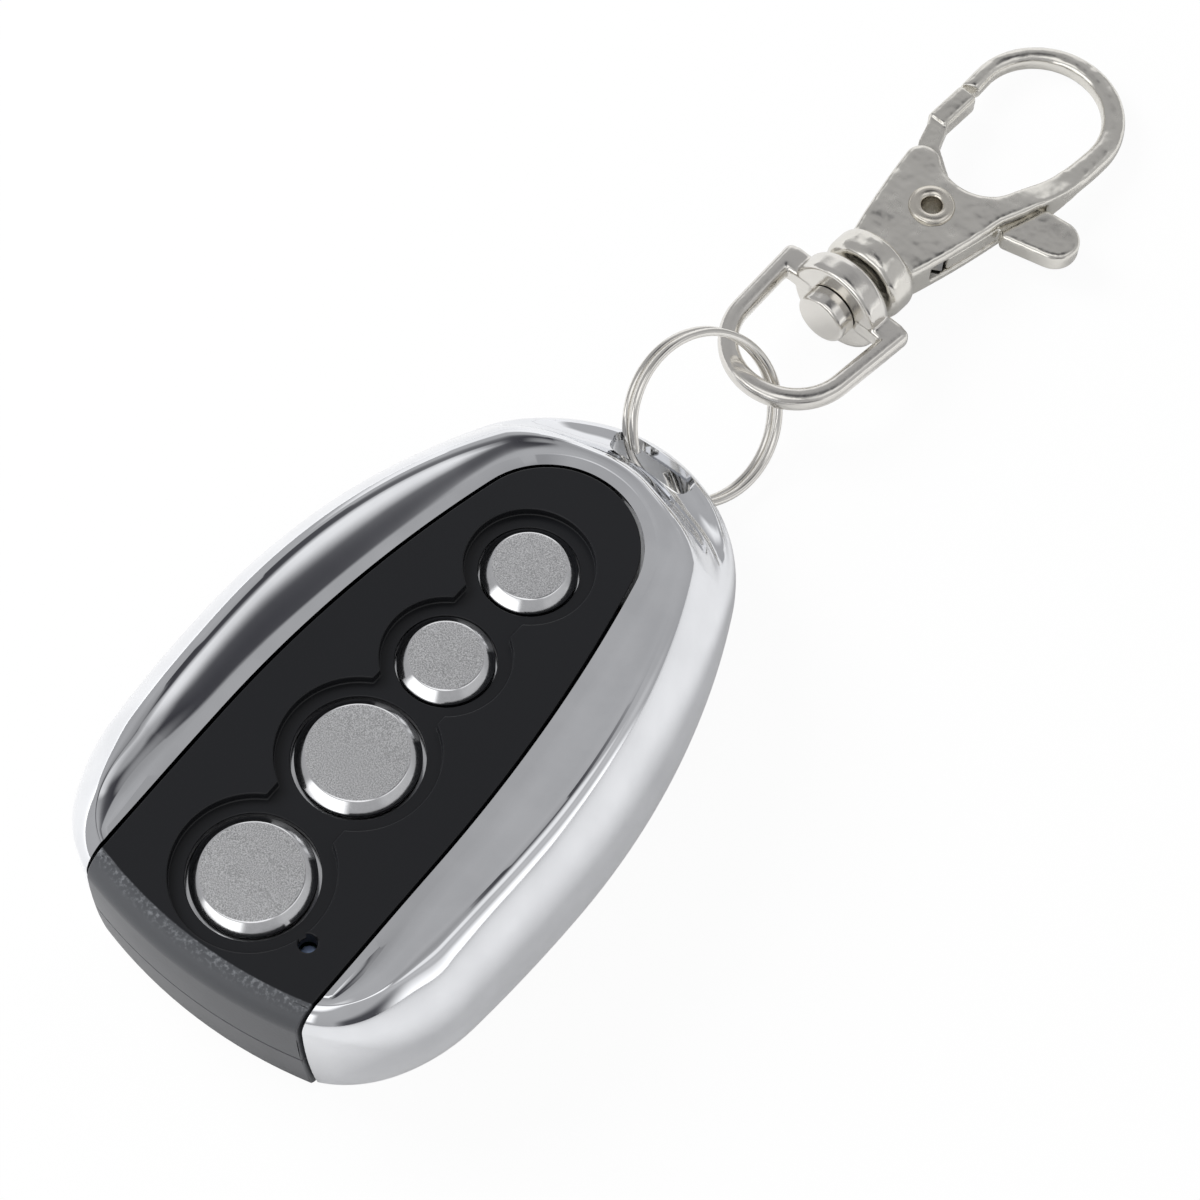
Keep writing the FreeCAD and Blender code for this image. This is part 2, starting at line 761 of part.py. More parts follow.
def battery_clip():
    """Strip under the cell, with a leg up to the board on each side."""
    half = clip_w / 2.0
    reach = coin_r + clip_side_gap
    strip = box(-reach - clip_t, reach + clip_t, coin_y - half, coin_y + half, coin_z - clip_t, coin_z)
    for sx in (-1, 1):
        x0, x1 = sorted((sx * reach, sx * (reach + clip_t)))
        strip = strip.fuse(box(x0, x1, coin_y - half, coin_y + half, coin_z - clip_t, board_z))
    return strip.removeSplitter()


def battery_pad():
    return cylinder(pad_r, coin_z + coin_t, board_z, 0, coin_y)


def crossover_arcs(r, rise, angle):
    """Two tangent arcs that carry the wire from the lower turn to the upper one."""
    a, b = math.radians(-angle), math.radians(angle)
    start = Vector(r * math.cos(a), r * math.sin(a), -rise / 2.0)
    end = Vector(r * math.cos(b), r * math.sin(b), rise / 2.0)
    t0 = Vector(-math.sin(a), math.cos(a), 0)
    t1 = Vector(-math.sin(b), math.cos(b), 0)
    chord = end - start
    turn = t0 + t1
    qa = turn.dot(turn) - 4.0
    qb = -2.0 * chord.dot(turn)
    qc = chord.dot(chord)
    d = (-qb - math.sqrt(qb * qb - 4.0 * qa * qc)) / (2.0 * qa)
    middle = (start + t0 * d + end - t1 * d) * 0.5
    return [tangent_arc(start, t0, middle), reversed_arc(end, t1, middle)]


def tangent_arc(start, tangent, end):
    """Arc from start to end that leaves start along tangent."""
    chord = end - start
    normal = tangent.cross(chord).cross(tangent).normalize()
    r = chord.dot(chord) / (2.0 * chord.dot(normal))
    centre = start + normal * r
    outward = (start + end) * 0.5 - centre
    return Part.Arc(start, centre + outward.normalize() * r, end).toShape()


def reversed_arc(end, tangent, start):
    arc = tangent_arc(end, tangent * -1.0, start)
    edge = Part.Arc(arc.valueAt(arc.LastParameter),
                    arc.valueAt((arc.FirstParameter + arc.LastParameter) / 2.0),
                    arc.valueAt(arc.FirstParameter)).toShape()
    return edge


def ring_placement():
    turn = Rotation(Vector(0, 0, 1), ring_start_angle)
    tilt = Rotation(Vector(0, 0, 1), ring_yaw).multiply(Rotation(Vector(0, 1, 0), ring_tilt))
    return Placement(Vector(*ring_centre), tilt.multiply(turn))


def split_ring():
    """Two turns of one wire; the crossover lies between the wire's two ends."""
    rise = ring_wire + ring_turn_gap
    edges = []
    step = (360.0 - 2.0 * ring_cross_angle) / 4.0
    for level, start in ((-rise / 2.0, ring_cross_angle), (rise / 2.0, ring_cross_angle)):
        arcs = []
        for k in range(4):
            a0 = start + step * k
            centre = Vector(0, 0, level)
            arcs.append(arc_edge(centre, ring_mean_r, a0, a0 + step / 2.0, a0 + step))
        if level < 0:
            edges += arcs + crossover_arcs(ring_mean_r, rise, ring_cross_angle)
        else:
            edges += arcs
    path = Part.Wire(edges)
    start = edges[0].valueAt(edges[0].FirstParameter)
    tangent = edges[0].tangentAt(edges[0].FirstParameter)
    section = Part.Wire(Part.makeCircle(ring_wire / 2.0, start, tangent))
    wire = path.makePipeShell([section], True, False)
    points = path.discretize(Number=240)
    apart = int(240 * 0.3)
    gap = min((points[i] - points[j]).Length for i in range(240) for j in range(i + apart, 240))
    print("split ring: least gap between its turns %.2f mm" % (gap - ring_wire))
    print("split ring: volume %.2f, section x length %.2f" % (
        wire.Volume, math.pi * (ring_wire / 2.0) ** 2 * path.Length))
    wire.Placement = ring_placement()
    return wire


# Clasp frame: local Y runs along the clasp, local X across it, local Z out of its face
hook_reach = hook_centre_u + hook_outer_r
clasp_pitch = math.degrees(math.asin((collar_r - hook_t / 2.0) / (hook_reach - collar_rest_u)))
swivel_z = collar_r * math.cos(math.radians(clasp_pitch)) - collar_rest_u * math.sin(
    math.radians(clasp_pitch)) + 0.02


def clasp_placement():
    lean = Rotation(Vector(0, 0, 1), -clasp_lean)
    pitch = Rotation(Vector(1, 0, 0), -clasp_pitch)
    return Placement(Vector(swivel_x, swivel_y, swivel_z), lean.multiply(pitch))


def placed(shape):
    shape.Placement = clasp_placement().multiply(shape.Placement)
    return shape


def along_axis(radius, u0, u1):
    """Cylinder along the clasp's axis."""
    return Part.makeCylinder(radius, u1 - u0, Vector(0, u0, 0), Vector(0, 1, 0))


def edges_where(shape, test):
    return [e for e in shape.Edges if test(e)]


def is_circle(e):
    return e.Curve.TypeId == "Part::GeomCircle"


def flat_rim_edges(shape, half_t):
    """Edges that lie in the top and bottom faces of a flat plate."""
    def in_face(e):
        return all(abs(abs(v.Point.z) - half_t) < 1e-6 for v in e.Vertexes)
    return edges_where(shape, in_face)


def plate_solid(edges, thickness):
    face = Part.Face(Part.Wire(Part.__sortEdges__(edges)))
    face.translate(Vector(0, 0, -thickness / 2.0))
    return face.extrude(Vector(0, 0, thickness))


def line(x0, y0, x1, y1):
    return Part.LineSegment(Vector(x0, y0, 0), Vector(x1, y1, 0)).toShape()


def arc3(x0, y0, x1, y1, x2, y2):
    return Part.Arc(Vector(x0, y0, 0), Vector(x1, y1, 0), Vector(x2, y2, 0)).toShape()


def u_bar(radius, top):
    """Half outline of the loop: round end, then legs that splay a little up to top."""
    a = math.radians(loop_splay)
    x = radius * math.cos(a)
    y = loop_end_u - radius * math.sin(a)
    reach = x + (top - y) * math.tan(a)
    return x, y, reach


def swivel_loop():
    """U-shaped bar, flat arms and a round collar that the rivet turns in."""
    top = loop_arm_u1
    x1, y1, w1 = u_bar(loop_end_r, top)
    x0, y0, w0 = u_bar(loop_end_r - loop_bar_w, top)
    low = loop_end_u - loop_end_r
    bar = plate_solid([
        line(w1, top, x1, y1), arc3(x1, y1, 0, low, -x1, y1), line(-x1, y1, -w1, top),
        line(-w1, top, -w0, top), line(-w0, top, -x0, y0),
        arc3(-x0, y0, 0, low + loop_bar_w, x0, y0), line(x0, y0, w0, top), line(w0, top, w1, top),
    ], loop_bar_t)
    bar = bar.makeFillet(loop_round, flat_rim_edges(bar, loop_bar_t / 2.0))
    arm = box(-w0 - 0.7, w0 + 0.7, loop_arm_u0, top, -loop_bar_t / 2.0, loop_bar_t / 2.0)
    long_edges = edges_where(arm, lambda e: abs(e.tangentAt(e.FirstParameter).x) > 0.9)
    arm = arm.makeFillet(0.5, long_edges)
    arm = arm.cut(along_axis(rivet_head_r + 0.2, -8, collar_u0))
    collar = along_axis(collar_r, collar_u0, collar_u1)
    far = edges_where(collar, lambda e: is_circle(e) and e.Vertexes[0].Point.y > 0)
    collar = collar.makeFillet(collar_round, far)
    near = edges_where(collar, lambda e: is_circle(e) and e.Vertexes[0].Point.y < 0)
    collar = collar.makeFillet(collar_front_round, near)
    loop = bar.fuse([arm, collar]).removeSplitter()
    return placed(loop.cut(along_axis(rivet_shank_r + swivel_fit, -8, 8)))


def swivel_rivet():
    head_u = collar_u0 - swivel_fit
    head = along_axis(rivet_head_r, head_u - rivet_head_t, head_u)
    far = edges_where(head, lambda e: is_circle(e) and e.Vertexes[0].Point.y < head_u - 1)
    head = head.makeFillet(0.4, far)
    return placed(head.fuse(along_axis(rivet_shank_r, head_u - 0.2, neck_start() + 2.0)).removeSplitter())


def neck_start():
    return collar_u1 + neck_gap


def side_limits(sign):
    """Slightly bulging side edge of the plate."""
    return arc3(sign * plate_half_start, 4.2, sign * plate_half_mid, 11.5, sign * plate_half_end, 14.6)


def plate_outline():
    """Plate with its horn on the gate's side and its arm on the other."""
    return [
        line(-plate_half_start, 4.2, plate_half_start, 4.2), side_limits(1),
        arc3(plate_half_end, 14.6, 6.55, 18.0, arm_outer_w - 0.12, arm_thin_u),
        line(arm_outer_w - 0.12, arm_thin_u, arm_inner_w + 0.12, arm_thin_u),
        arc3(arm_inner_w + 0.12, arm_thin_u, 4.98, 20.6, 4.3, 18.4),
        arc3(4.3, 18.4, 1.0, eye_low_u, -2.4, 15.5),
        arc3(-2.4, 15.5, -3.9, horn_u, -plate_half_end, 14.6), side_limits(-1),
    ]


def hook_outline():
    """Bar of the hook: round over the top, then widening down into the plate's arm."""
    c_w, c_u = hook_centre_w, hook_centre_u
    ro, ri = hook_outer_r, hook_inner_r
    i_w = c_w - hook_shift
    low = 18.0
    nose = c_u - 4.2
    return [
        arc3(c_w + ro, c_u, c_w, c_u + ro, c_w - ro, c_u),
        line(c_w - ro, c_u, c_w - ro + 0.2, nose), line(c_w - ro + 0.2, nose, i_w - ri + 0.3, nose),
        line(i_w - ri + 0.3, nose, i_w - ri, c_u),
        arc3(i_w - ri, c_u, i_w, c_u + ri, i_w + ri, c_u),
        arc3(i_w + ri, c_u, arm_inner_w, arm_thin_u, 4.2, low), line(4.2, low, 6.5, low),
        arc3(6.5, low, arm_outer_w, arm_thin_u, c_w + ro, c_u),
    ]


def nose_cutter():
    """Sweep of the gate about its pivot, with clearance, so that it can swing past the nose."""
    corner = math.hypot(gate_w - gate_width / 2.0, gate_u1 - pivot_u) + nose_clearance
    disc = cylinder(corner, -5, 5, 0, pivot_u)
    return disc.common(box(-12, 0, arm_full_u, 40, -5, 5))


def arm_taper():
    """Wedges that thin the plate's arm down to the hook bar."""
    cutters = []
    for sign in (-1, 1):
        full, thin = sign * plate_t / 2.0, sign * hook_t / 2.0
        start = arm_full_u - 1.5
        slope = Part.BezierCurve()
        slope.setPoles([Vector(0, start, full), Vector(0, start + 2.6, full), Vector(0, arm_thin_u - 2.6, thin),
                        Vector(0, arm_thin_u, thin)])
        rest = Part.makePolygon([
            Vector(0, arm_thin_u, thin), Vector(0, 40, thin), Vector(0, 40, 2 * full), Vector(0, start, 2 * full),
            Vector(0, start, full),
        ])
        wedge = Part.Face(Part.Wire([slope.toShape()] + rest.Edges)).extrude(Vector(24, 0, 0))
        wedge.translate(Vector(-12, 0, 0))
        cutters.append(wedge)
    return cutters


def clasp_body():
    """Neck, two-cheeked plate and hook in one casting, slotted for the lever."""
    neck = along_axis(neck_r, neck_start(), neck_end_u)
    neck = neck.makeFillet(neck_round, edges_where(neck, is_circle))
    plate = plate_solid(plate_outline(), plate_t)
    plate = plate.makeFillet(plate_round, flat_rim_edges(plate, plate_t / 2.0))
    plate = plate.cut(arm_taper()[0]).cut(arm_taper()[1])
    hook = plate_solid(hook_outline(), hook_t)
    hook = hook.makeFillet(hook_round, flat_rim_edges(hook, hook_t / 2.0)).cut(nose_cutter())
    body = neck.fuse([plate, hook]).removeSplitter()
    slot = box(-12, 12, lever_slot_u0, lever_slot_u1, -lever_slot_t / 2.0, lever_slot_t / 2.0)
    body = body.cut(slot)
    body = body.cut(cylinder(eyelet_r + eyelet_fit, -5, 5, 0, pivot_u))
    return placed(body.cut(along_axis(rivet_shank_r, -5, neck_start() + 2.0)))


def gate_piece():
    """Thicker end of the gate that closes under the hook's nose."""
    half = gate_width / 2.0
    piece = box(gate_w - half, gate_w + half, gate_u0, gate_u1, -gate_t / 2.0, gate_t / 2.0)
    long_edges = edges_where(piece, lambda e: abs(e.tangentAt(e.FirstParameter).y) > 0.9)
    return piece.makeFillet(0.6, long_edges)


def clasp_trigger():
    """Lever on the eyelet: gate arm on one side, thumb tab on the other."""
    boss = cylinder(lever_boss_r, -lever_t / 2.0, lever_t / 2.0, 0, pivot_u)
    half = gate_width / 2.0
    arm = plate_solid([
        line(-2.5, pivot_u - 0.6, -4.6, 14.6), line(-4.6, 14.6, -5.7, 16.6),
        line(-5.7, 16.6, gate_w - half + 0.1, gate_u0 + 0.6),
        line(gate_w - half + 0.1, gate_u0 + 0.6, gate_w + half - 0.1, gate_u0 + 0.6),
        line(gate_w + half - 0.1, gate_u0 + 0.6, -3.9, 17.2), line(-3.9, 17.2, 1.2, pivot_u + 2.3),
        line(1.2, pivot_u + 2.3, -2.5, pivot_u - 0.6),
    ], lever_t)
    thumb = plate_solid([
        line(0.8, pivot_u - 2.5, 4.2, pivot_u - 2.4), arc3(4.2, pivot_u - 2.4, 4.77, 11.5, 5.3, 14.2),
        line(5.3, 14.2, 6.6, 14.2), line(6.6, 14.2, 7.8, 18.5), line(7.8, 18.5, 5.6, 18.0),
        line(5.6, 18.0, 0.0, pivot_u + 2.5), line(0.0, pivot_u + 2.5, 0.8, pivot_u - 2.5),
    ], lever_t)
    c_w, c_u, r = tab_tip_w, tab_tip_u, tab_tip_r
    tip = plate_solid([
        line(5.4, 13.49, c_w + r * math.sin(math.radians(17)), c_u - r * math.cos(math.radians(17))),
        arc3(c_w + r * math.sin(math.radians(17)), c_u - r * math.cos(math.radians(17)), c_w + r, c_u + 0.2,
             c_w, c_u + r),
        line(c_w, c_u + r, 6.85, 18.7), line(6.85, 18.7, 5.4, 13.49),
    ], tab_t)
    tip = tip.makeFillet(0.5, flat_rim_edges(tip, tab_t / 2.0))
    lever = boss.fuse([arm, thumb, tip, gate_piece()]).removeSplitter()
    return placed(lever.cut(cylinder(eyelet_r + eyelet_fit, -5, 5, 0, pivot_u)))


def clasp_eyelet():
    """Hollow rivet flared over both cheeks."""
    half = plate_t / 2.0
    tube = cylinder(eyelet_r, -half - 0.1, half + 0.1, 0, pivot_u)
    for z0, z1 in ((half, half + eyelet_lip_t), (-half - eyelet_lip_t, -half)):
        lip = cylinder(eyelet_lip_r, z0, z1, 0, pivot_u)
        outer = edges_where(lip, lambda e: is_circle(e) and abs(e.Vertexes[0].Point.z) > half + 0.1)
        tube = tube.fuse(lip.makeFillet(0.25, outer))
    return placed(tube.cut(cylinder(eyelet_bore_r, -6, 6, 0, pivot_u)).removeSplitter())


def clasp_spring():
    """Bent leaf that stands on the end of the slot and presses under the lever's thumb side."""
    t = trigger_spring_t
    foot = lever_slot_u0 + 0.02
    leaf = plate_solid([
        line(0.4, foot, 2.0, foot), line(2.0, foot, 4.0, 8.35), line(4.0, 8.35, 4.0 - 0.55 * t, 8.35 + 0.83 * t),
        line(4.0 - 0.55 * t, 8.35 + 0.83 * t, 1.9, foot + t), line(1.9, foot + t, 0.4, foot + t),
        line(0.4, foot + t, 0.4, foot),
    ], lever_slot_t - 0.5)
    return placed(leaf)


def export(shape, name):
    shape.exportStep("parts/%s.step" % name)
    box_ = shape.BoundBox
    print("%-18s valid %s  volume %9.2f  x %6.2f..%6.2f  y %6.2f..%6.2f  z %6.2f..%6.2f" % (
        name, shape.isValid(), shape.Volume, box_.XMin, box_.XMax, box_.YMin, box_.YMax, box_.ZMin, box_.ZMax))


def build():
    export(chrome_shell(), "chrome_shell")
    export(front_casing(), "front_casing")
    export(back_cover(), "back_cover")
    export(cover_screws(), "cover_screws")
    for k in range(len(button_y)):
        export(button_cap(k), "button_cap_%d" % (k + 1))
        export(switch_plunger(k), "switch_plunger_%d" % (k + 1))
        export(tact_switch(k), "tact_switch_%d" % (k + 1))
    export(circuit_board(), "circuit_board")
    export(status_led(), "status_led")
    export(board_block(7.4, 5.2, 5.0, 3.9, 1.6, 4), "encoder_chip")
    export(board_block(-9.0, 4.0, 3.0, 1.4, 1.1, 2), "rf_transistor")
    export(resonator_can(), "saw_resonator")
    export(antenna_loop(), "antenna_loop")
    export(coin_cell(), "coin_cell")
    export(battery_clip(), "battery_clip")
    export(battery_pad(), "battery_pad")
    export(split_ring(), "split_ring")
    export(swivel_loop(), "swivel_loop")
    export(swivel_rivet(), "swivel_rivet")
    export(clasp_body(), "clasp_body")
    export(clasp_trigger(), "clasp_trigger")
    export(clasp_eyelet(), "clasp_eyelet")
    export(clasp_spring(), "clasp_spring")


build()
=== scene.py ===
import math

import bmesh
import bpy
from mathutils import Matrix, Vector


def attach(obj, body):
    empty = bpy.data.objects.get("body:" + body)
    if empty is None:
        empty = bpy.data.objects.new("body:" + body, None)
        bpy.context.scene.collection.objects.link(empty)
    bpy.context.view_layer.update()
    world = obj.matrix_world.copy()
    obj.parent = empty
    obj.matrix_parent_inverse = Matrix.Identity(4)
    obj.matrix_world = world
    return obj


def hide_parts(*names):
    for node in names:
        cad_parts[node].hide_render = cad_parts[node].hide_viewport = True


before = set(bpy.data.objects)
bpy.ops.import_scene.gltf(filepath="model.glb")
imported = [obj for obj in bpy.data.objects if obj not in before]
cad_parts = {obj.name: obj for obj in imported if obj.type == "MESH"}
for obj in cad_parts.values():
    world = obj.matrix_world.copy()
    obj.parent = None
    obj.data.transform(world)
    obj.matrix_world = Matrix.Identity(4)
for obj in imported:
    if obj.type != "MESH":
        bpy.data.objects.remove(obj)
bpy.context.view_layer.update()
mm = 0.001
print("frame loaded")

# camera fitted to the photograph, distances in millimetres
view = {
    "azimuth": 38.4,
    "elevation": 63.7,
    "distance": 450.0,
    "aim": (6.66, 14.3, 15.35),
    "fieldOfView": 12.2727,
}


def makeCamera(view):
    az, el = math.radians(view["azimuth"]), math.radians(view["elevation"])
    back = Vector((math.cos(el) * math.sin(az), -math.cos(el) * math.cos(az), math.sin(el)))
    right = Vector((math.cos(az), math.sin(az), 0))
    up = back.cross(right)
    turn = Matrix((right, up, back)).transposed().to_4x4()
    data = bpy.data.cameras.new("photoCamera")
    data.sensor_fit = "HORIZONTAL"
    data.angle = math.radians(view["fieldOfView"])
    data.clip_start = 0.01
    data.clip_end = 20
    camera = bpy.data.objects.new("photoCamera", data)
    camera.matrix_world = Matrix.Translation((Vector(view["aim"]) + back * view["distance"]) * mm) @ turn
    bpy.context.scene.collection.objects.link(camera)
    bpy.context.scene.camera = camera


makeCamera(view)
scene = bpy.context.scene
scene.view_settings.view_transform = "Standard"


# a socket that takes part in plain arithmetic
class Sock:
    def __init__(self, kit, out):
        self.kit = kit
        self.out = out

    def calc(self, how, *others, first=True):
        terms = [self, *others] if first else [*others, self]
        return self.kit.node("ShaderNodeMath", {"operation": how}, dict(enumerate(terms)))

    def __add__(self, other):
        return self.calc("ADD", other)

    __radd__ = __add__

    def __mul__(self, other):
        return self.calc("MULTIPLY", other)

    __rmul__ = __mul__

    def __sub__(self, other):
        return self.calc("SUBTRACT", other)

    def __rsub__(self, other):
        return self.calc("SUBTRACT", other, first=False)

    def over(self, low, high):
        return self.kit.node("ShaderNodeMapRange", {"interpolation_type": "SMOOTHSTEP"},
                             {"Value": self, "From Min": low, "From Max": high})


class Finish:
    def __init__(self, name):
        self.material = bpy.data.materials.new(name)
        self.material.use_nodes = True
        self.tree = self.material.node_tree
        self.tree.nodes.clear()
        self.end = self.tree.nodes.new("ShaderNodeOutputMaterial")
        self.place = self.node("ShaderNodeVectorMath", {"operation": "SCALE"},
                               {0: self.node("ShaderNodeTexCoord", out="Object"), "Scale": 1000.0})

    def plug(self, socket, value):
        if isinstance(value, Sock):
            self.tree.links.new(value.out, socket)
        else:
            socket.default_value = value

    def node(self, kind, settings=None, sockets=None, out=0):
        made = self.tree.nodes.new(kind)
        for key, value in (settings or {}).items():
            if key == "stops":
                while len(made.color_ramp.elements) < len(value):
                    made.color_ramp.elements.new(0.5)
                for element, (at, colour) in zip(made.color_ramp.elements, value):
                    element.position, element.color = at, (*colour, 1)
            else:
                setattr(made, key, value)
        for key, value in (sockets or {}).items():
            self.plug(made.inputs[key], value)
        return Sock(self, made.outputs[out])

    def noise(self, perMm, detail=2.0, stretch=(1, 1, 1)):
        spot = self.node("ShaderNodeVectorMath", {"operation": "MULTIPLY"}, {0: self.place, 1: stretch})
        return self.node("ShaderNodeTexNoise", None, {"Vector": spot, "Scale": perMm, "Detail": detail})

    def blend(self, amount, colourA, colourB):
        made = self.tree.nodes.new("ShaderNodeMix")
        made.data_type = "RGBA"
        self.plug(made.inputs["Factor"], amount)
        self.plug(made.inputs[6], colourA if isinstance(colourA, Sock) else (*colourA, 1))
        self.plug(made.inputs[7], colourB if isinstance(colourB, Sock) else (*colourB, 1))
        return Sock(self, made.outputs[2])

    def bump(self, height, depthMm):
        return self.node("ShaderNodeBump", None, {"Height": height, "Distance": depthMm * mm})

    def surface(self, **sockets):
        made = self.tree.nodes.new("ShaderNodeBsdfPrincipled")
        for key, value in sockets.items():
            self.plug(made.inputs[key.replace("_", " ")], value)
        self.tree.links.new(made.outputs[0], self.end.inputs["Surface"])
        return self.material


def plainFinish(name, look):
    f = Finish(name)
    cloud = f.noise(look.get("cloud", 0.25), 3.0)
    grain = f.noise(look.get("grain", 5.0), 2.0, look.get("stretch", (1, 1, 1)))
    tone = cloud * 0.5 + grain * 0.5
    dark = tuple(c * (1 - look.get("vary", 0.12)) for c in look["colour"])
    light = tuple(min(c * (1 + look.get("vary", 0.12)), 1) for c in look["colour"])
    rough = look["rough"] + (grain - 0.5) * look.get("roughVary", 0.1)
    return f.surface(Base_Color=f.blend(tone.over(0.35, 0.65), dark, light), Metallic=look.get("metal", 0.0),
                     Roughness=rough, Normal=f.bump(grain, look.get("depth", 0.004)))


looks = {
    "blackCover": {"colour": (0.058, 0.06, 0.066), "rough": 0.42, "grain": 4.0, "depth": 0.006},
    "screwZinc": {"colour": (0.52, 0.53, 0.55), "rough": 0.3, "metal": 1.0, "grain": 8.0},
    "plungerBlack": {"colour": (0.03, 0.03, 0.03), "rough": 0.55},
    "switchSteel": {"colour": (0.5, 0.5, 0.51), "rough": 0.32, "metal": 1.0, "stretch": (1, 6, 1)},
    "boardGreen": {"colour": (0.03, 0.16, 0.07), "rough": 0.4, "cloud": 0.6, "vary": 0.25},
    "chipBlack": {"colour": (0.022, 0.022, 0.023), "rough": 0.5, "grain": 7.0},
    "resonatorCan": {"colour": (0.62, 0.62, 0.6), "rough": 0.25, "metal": 1.0},
    "copperTrack": {"colour": (0.72, 0.38, 0.2), "rough": 0.3, "metal": 1.0},
    "cellSteel": {"colour": (0.6, 0.6, 0.59), "rough": 0.28, "metal": 1.0, "stretch": (6, 1, 1)},
    "clipSteel": {"colour": (0.56, 0.56, 0.55), "rough": 0.3, "metal": 1.0},
    "springSteel": {"colour": (0.42, 0.42, 0.42), "rough": 0.35, "metal": 1.0, "stretch": (1, 5, 1)},
}


# noises are a scale per millimetre and a detail, spans a lowest and a highest value, depths millimetres
chromeLook = {
    "smear": (0.22, 4.0), "ripple": (0.8, 2.0), "toneSpan": (0.3, 0.7), "dark": (0.78, 0.79, 0.81),
    "light": (0.84, 0.85, 0.87), "rough": 0.045, "roughSpan": (0.45, 0.8), "roughVary": 0.035,
    "depth": 0.0009,
}
# the casing's tail is coarse outside the crease, a circle about a point on the middle line, and is painted
# lighter grey there as a painted reflection of the table
casingLook = {
    "tailCentre": 12.5, "crease": 40.9, "creaseWidth": 0.15, "bandStart": 0.5, "bandEnd": 1.4,
    # the light fleck colour is a painted highlight along the tail's rounded edge, broken up by the coarse
    # grain
    # the tail colour is a painted reflection of the white table on black plastic
    "panel": (0.0085, 0.009, 0.0105), "tail": (0.066, 0.069, 0.075), "highlightFleck": (0.24, 0.25, 0.265),
    "fine": (7.0, 2.0), "coarse": (3.2, 3.0), "cloud": (0.12, 3.0), "highlightFleckSpan": (0.45, 0.75),
    "highlightFleckShare": 0.6, "rough": 0.31, "roughVary": 0.1, "tailRough": 0.09, "finePart": 0.3,
    "specular": 0.3, "depth": 0.014,
}
blastedLook = {
    "grain": (11.0, 3.0), "pit": (16.0, 2.0), "toneSpan": (0.32, 0.68), "dark": (0.38, 0.382, 0.388),
    "light": (0.84, 0.843, 0.85), "metal": 0.9, "rough": 0.4, "roughVary": 0.16, "depth": 0.024,
}
turnedLook = {
    "grain": (3.0, 2.0), "dark": (0.70, 0.705, 0.715), "light": (0.8, 0.805, 0.815), "rough": 0.1,
    "roughVary": 0.06, "depth": 0.002,
}
lensLook = {
    "haze": (3.0, 2.0), "dark": (0.3, 0.42, 0.72), "light": (0.55, 0.68, 0.95), "rough": 0.12,
    "roughVary": 0.08, "coat": 0.6, "depth": 0.003,
}


def chromeFinish(look):
    f = Finish("chromeFinish")
    smear = f.noise(*look["smear"])
    ripple = f.noise(*look["ripple"])
    tone = f.blend(smear.over(*look["toneSpan"]), look["dark"], look["light"])
    rough = look["rough"] + smear.over(*look["roughSpan"]) * look["roughVary"]
    return f.surface(Base_Color=tone, Metallic=1.0, Roughness=rough, Normal=f.bump(ripple, look["depth"]))


def casingFinish(look):
    f = Finish("casingFinish")
    centre = (0, look["tailCentre"], 0)
    shifted = f.node("ShaderNodeVectorMath", {"operation": "SUBTRACT"}, {0: f.place, 1: centre})
    flat = f.node("ShaderNodeVectorMath", {"operation": "MULTIPLY"}, {0: shifted, 1: (1, 1, 0)})
    away = f.node("ShaderNodeVectorMath", {"operation": "LENGTH"}, {0: flat}, out="Value")
    crease = look["crease"]
    tail = away.over(crease, crease + look["creaseWidth"])
    band = tail * (1 - away.over(crease + look["bandStart"], crease + look["bandEnd"]))
    fine = f.noise(*look["fine"])
    coarse = f.noise(*look["coarse"])
    cloud = f.noise(*look["cloud"])
    # painted highlight: light flecks in the band just outside the crease, where the rounded edge catches the
    # light, broken up by the coarse grain
    highlightFleck = coarse.over(*look["highlightFleckSpan"]) * band * look["highlightFleckShare"]
    rough = look["rough"] + (cloud - 0.5) * look["roughVary"] + tail * look["tailRough"]
    height = fine * look["finePart"] + coarse * (tail + band)
    # painted reflection: outside the crease the tail gets the lighter grey instead of the panel black
    paint = f.blend(tail, look["panel"], look["tail"])
    return f.surface(Base_Color=f.blend(highlightFleck, paint, look["highlightFleck"]), Roughness=rough,
                     Specular_IOR_Level=look["specular"], Normal=f.bump(height, look["depth"]))


def blastedFinish(look):
    f = Finish("blastedFinish")
    grain = f.noise(*look["grain"])
    pit = f.noise(*look["pit"])
    tone = f.blend(grain.over(*look["toneSpan"]), look["dark"], look["light"])
    rough = look["rough"] + pit * look["roughVary"]
    return f.surface(Base_Color=tone, Metallic=look["metal"], Roughness=rough,
                     Normal=f.bump(grain * 0.5 + pit * 0.5, look["depth"]))


def turnedFinish(look):
    f = Finish("turnedFinish")
    grain = f.noise(*look["grain"])
    return f.surface(Base_Color=f.blend(grain, look["dark"], look["light"]), Metallic=1.0,
                     Roughness=look["rough"] + grain * look["roughVary"], Normal=f.bump(grain, look["depth"]))


def nickelFinish(name, look):
    f = Finish(name)
    cast = f.noise(look["cast"], 3.0)
    haze = f.noise(0.5, 4.0)
    pit = f.noise(6.0, 2.0)
    rough = look["rough"] + haze.over(0.4, 0.75) * look["haze"]
    return f.surface(Base_Color=f.blend(haze, look["dark"], look["light"]), Metallic=1.0, Roughness=rough,
                     Normal=f.bump(cast + pit * look.get("pit", 0.3), look["depth"]))


def lensFinish(look):
    f = Finish("lensFinish")
    haze = f.noise(*look["haze"])
    return f.surface(Base_Color=f.blend(haze, look["dark"], look["light"]), Coat_Weight=look["coat"],
                     Roughness=look["rough"] + haze * look["roughVary"], Normal=f.bump(haze, look["depth"]))


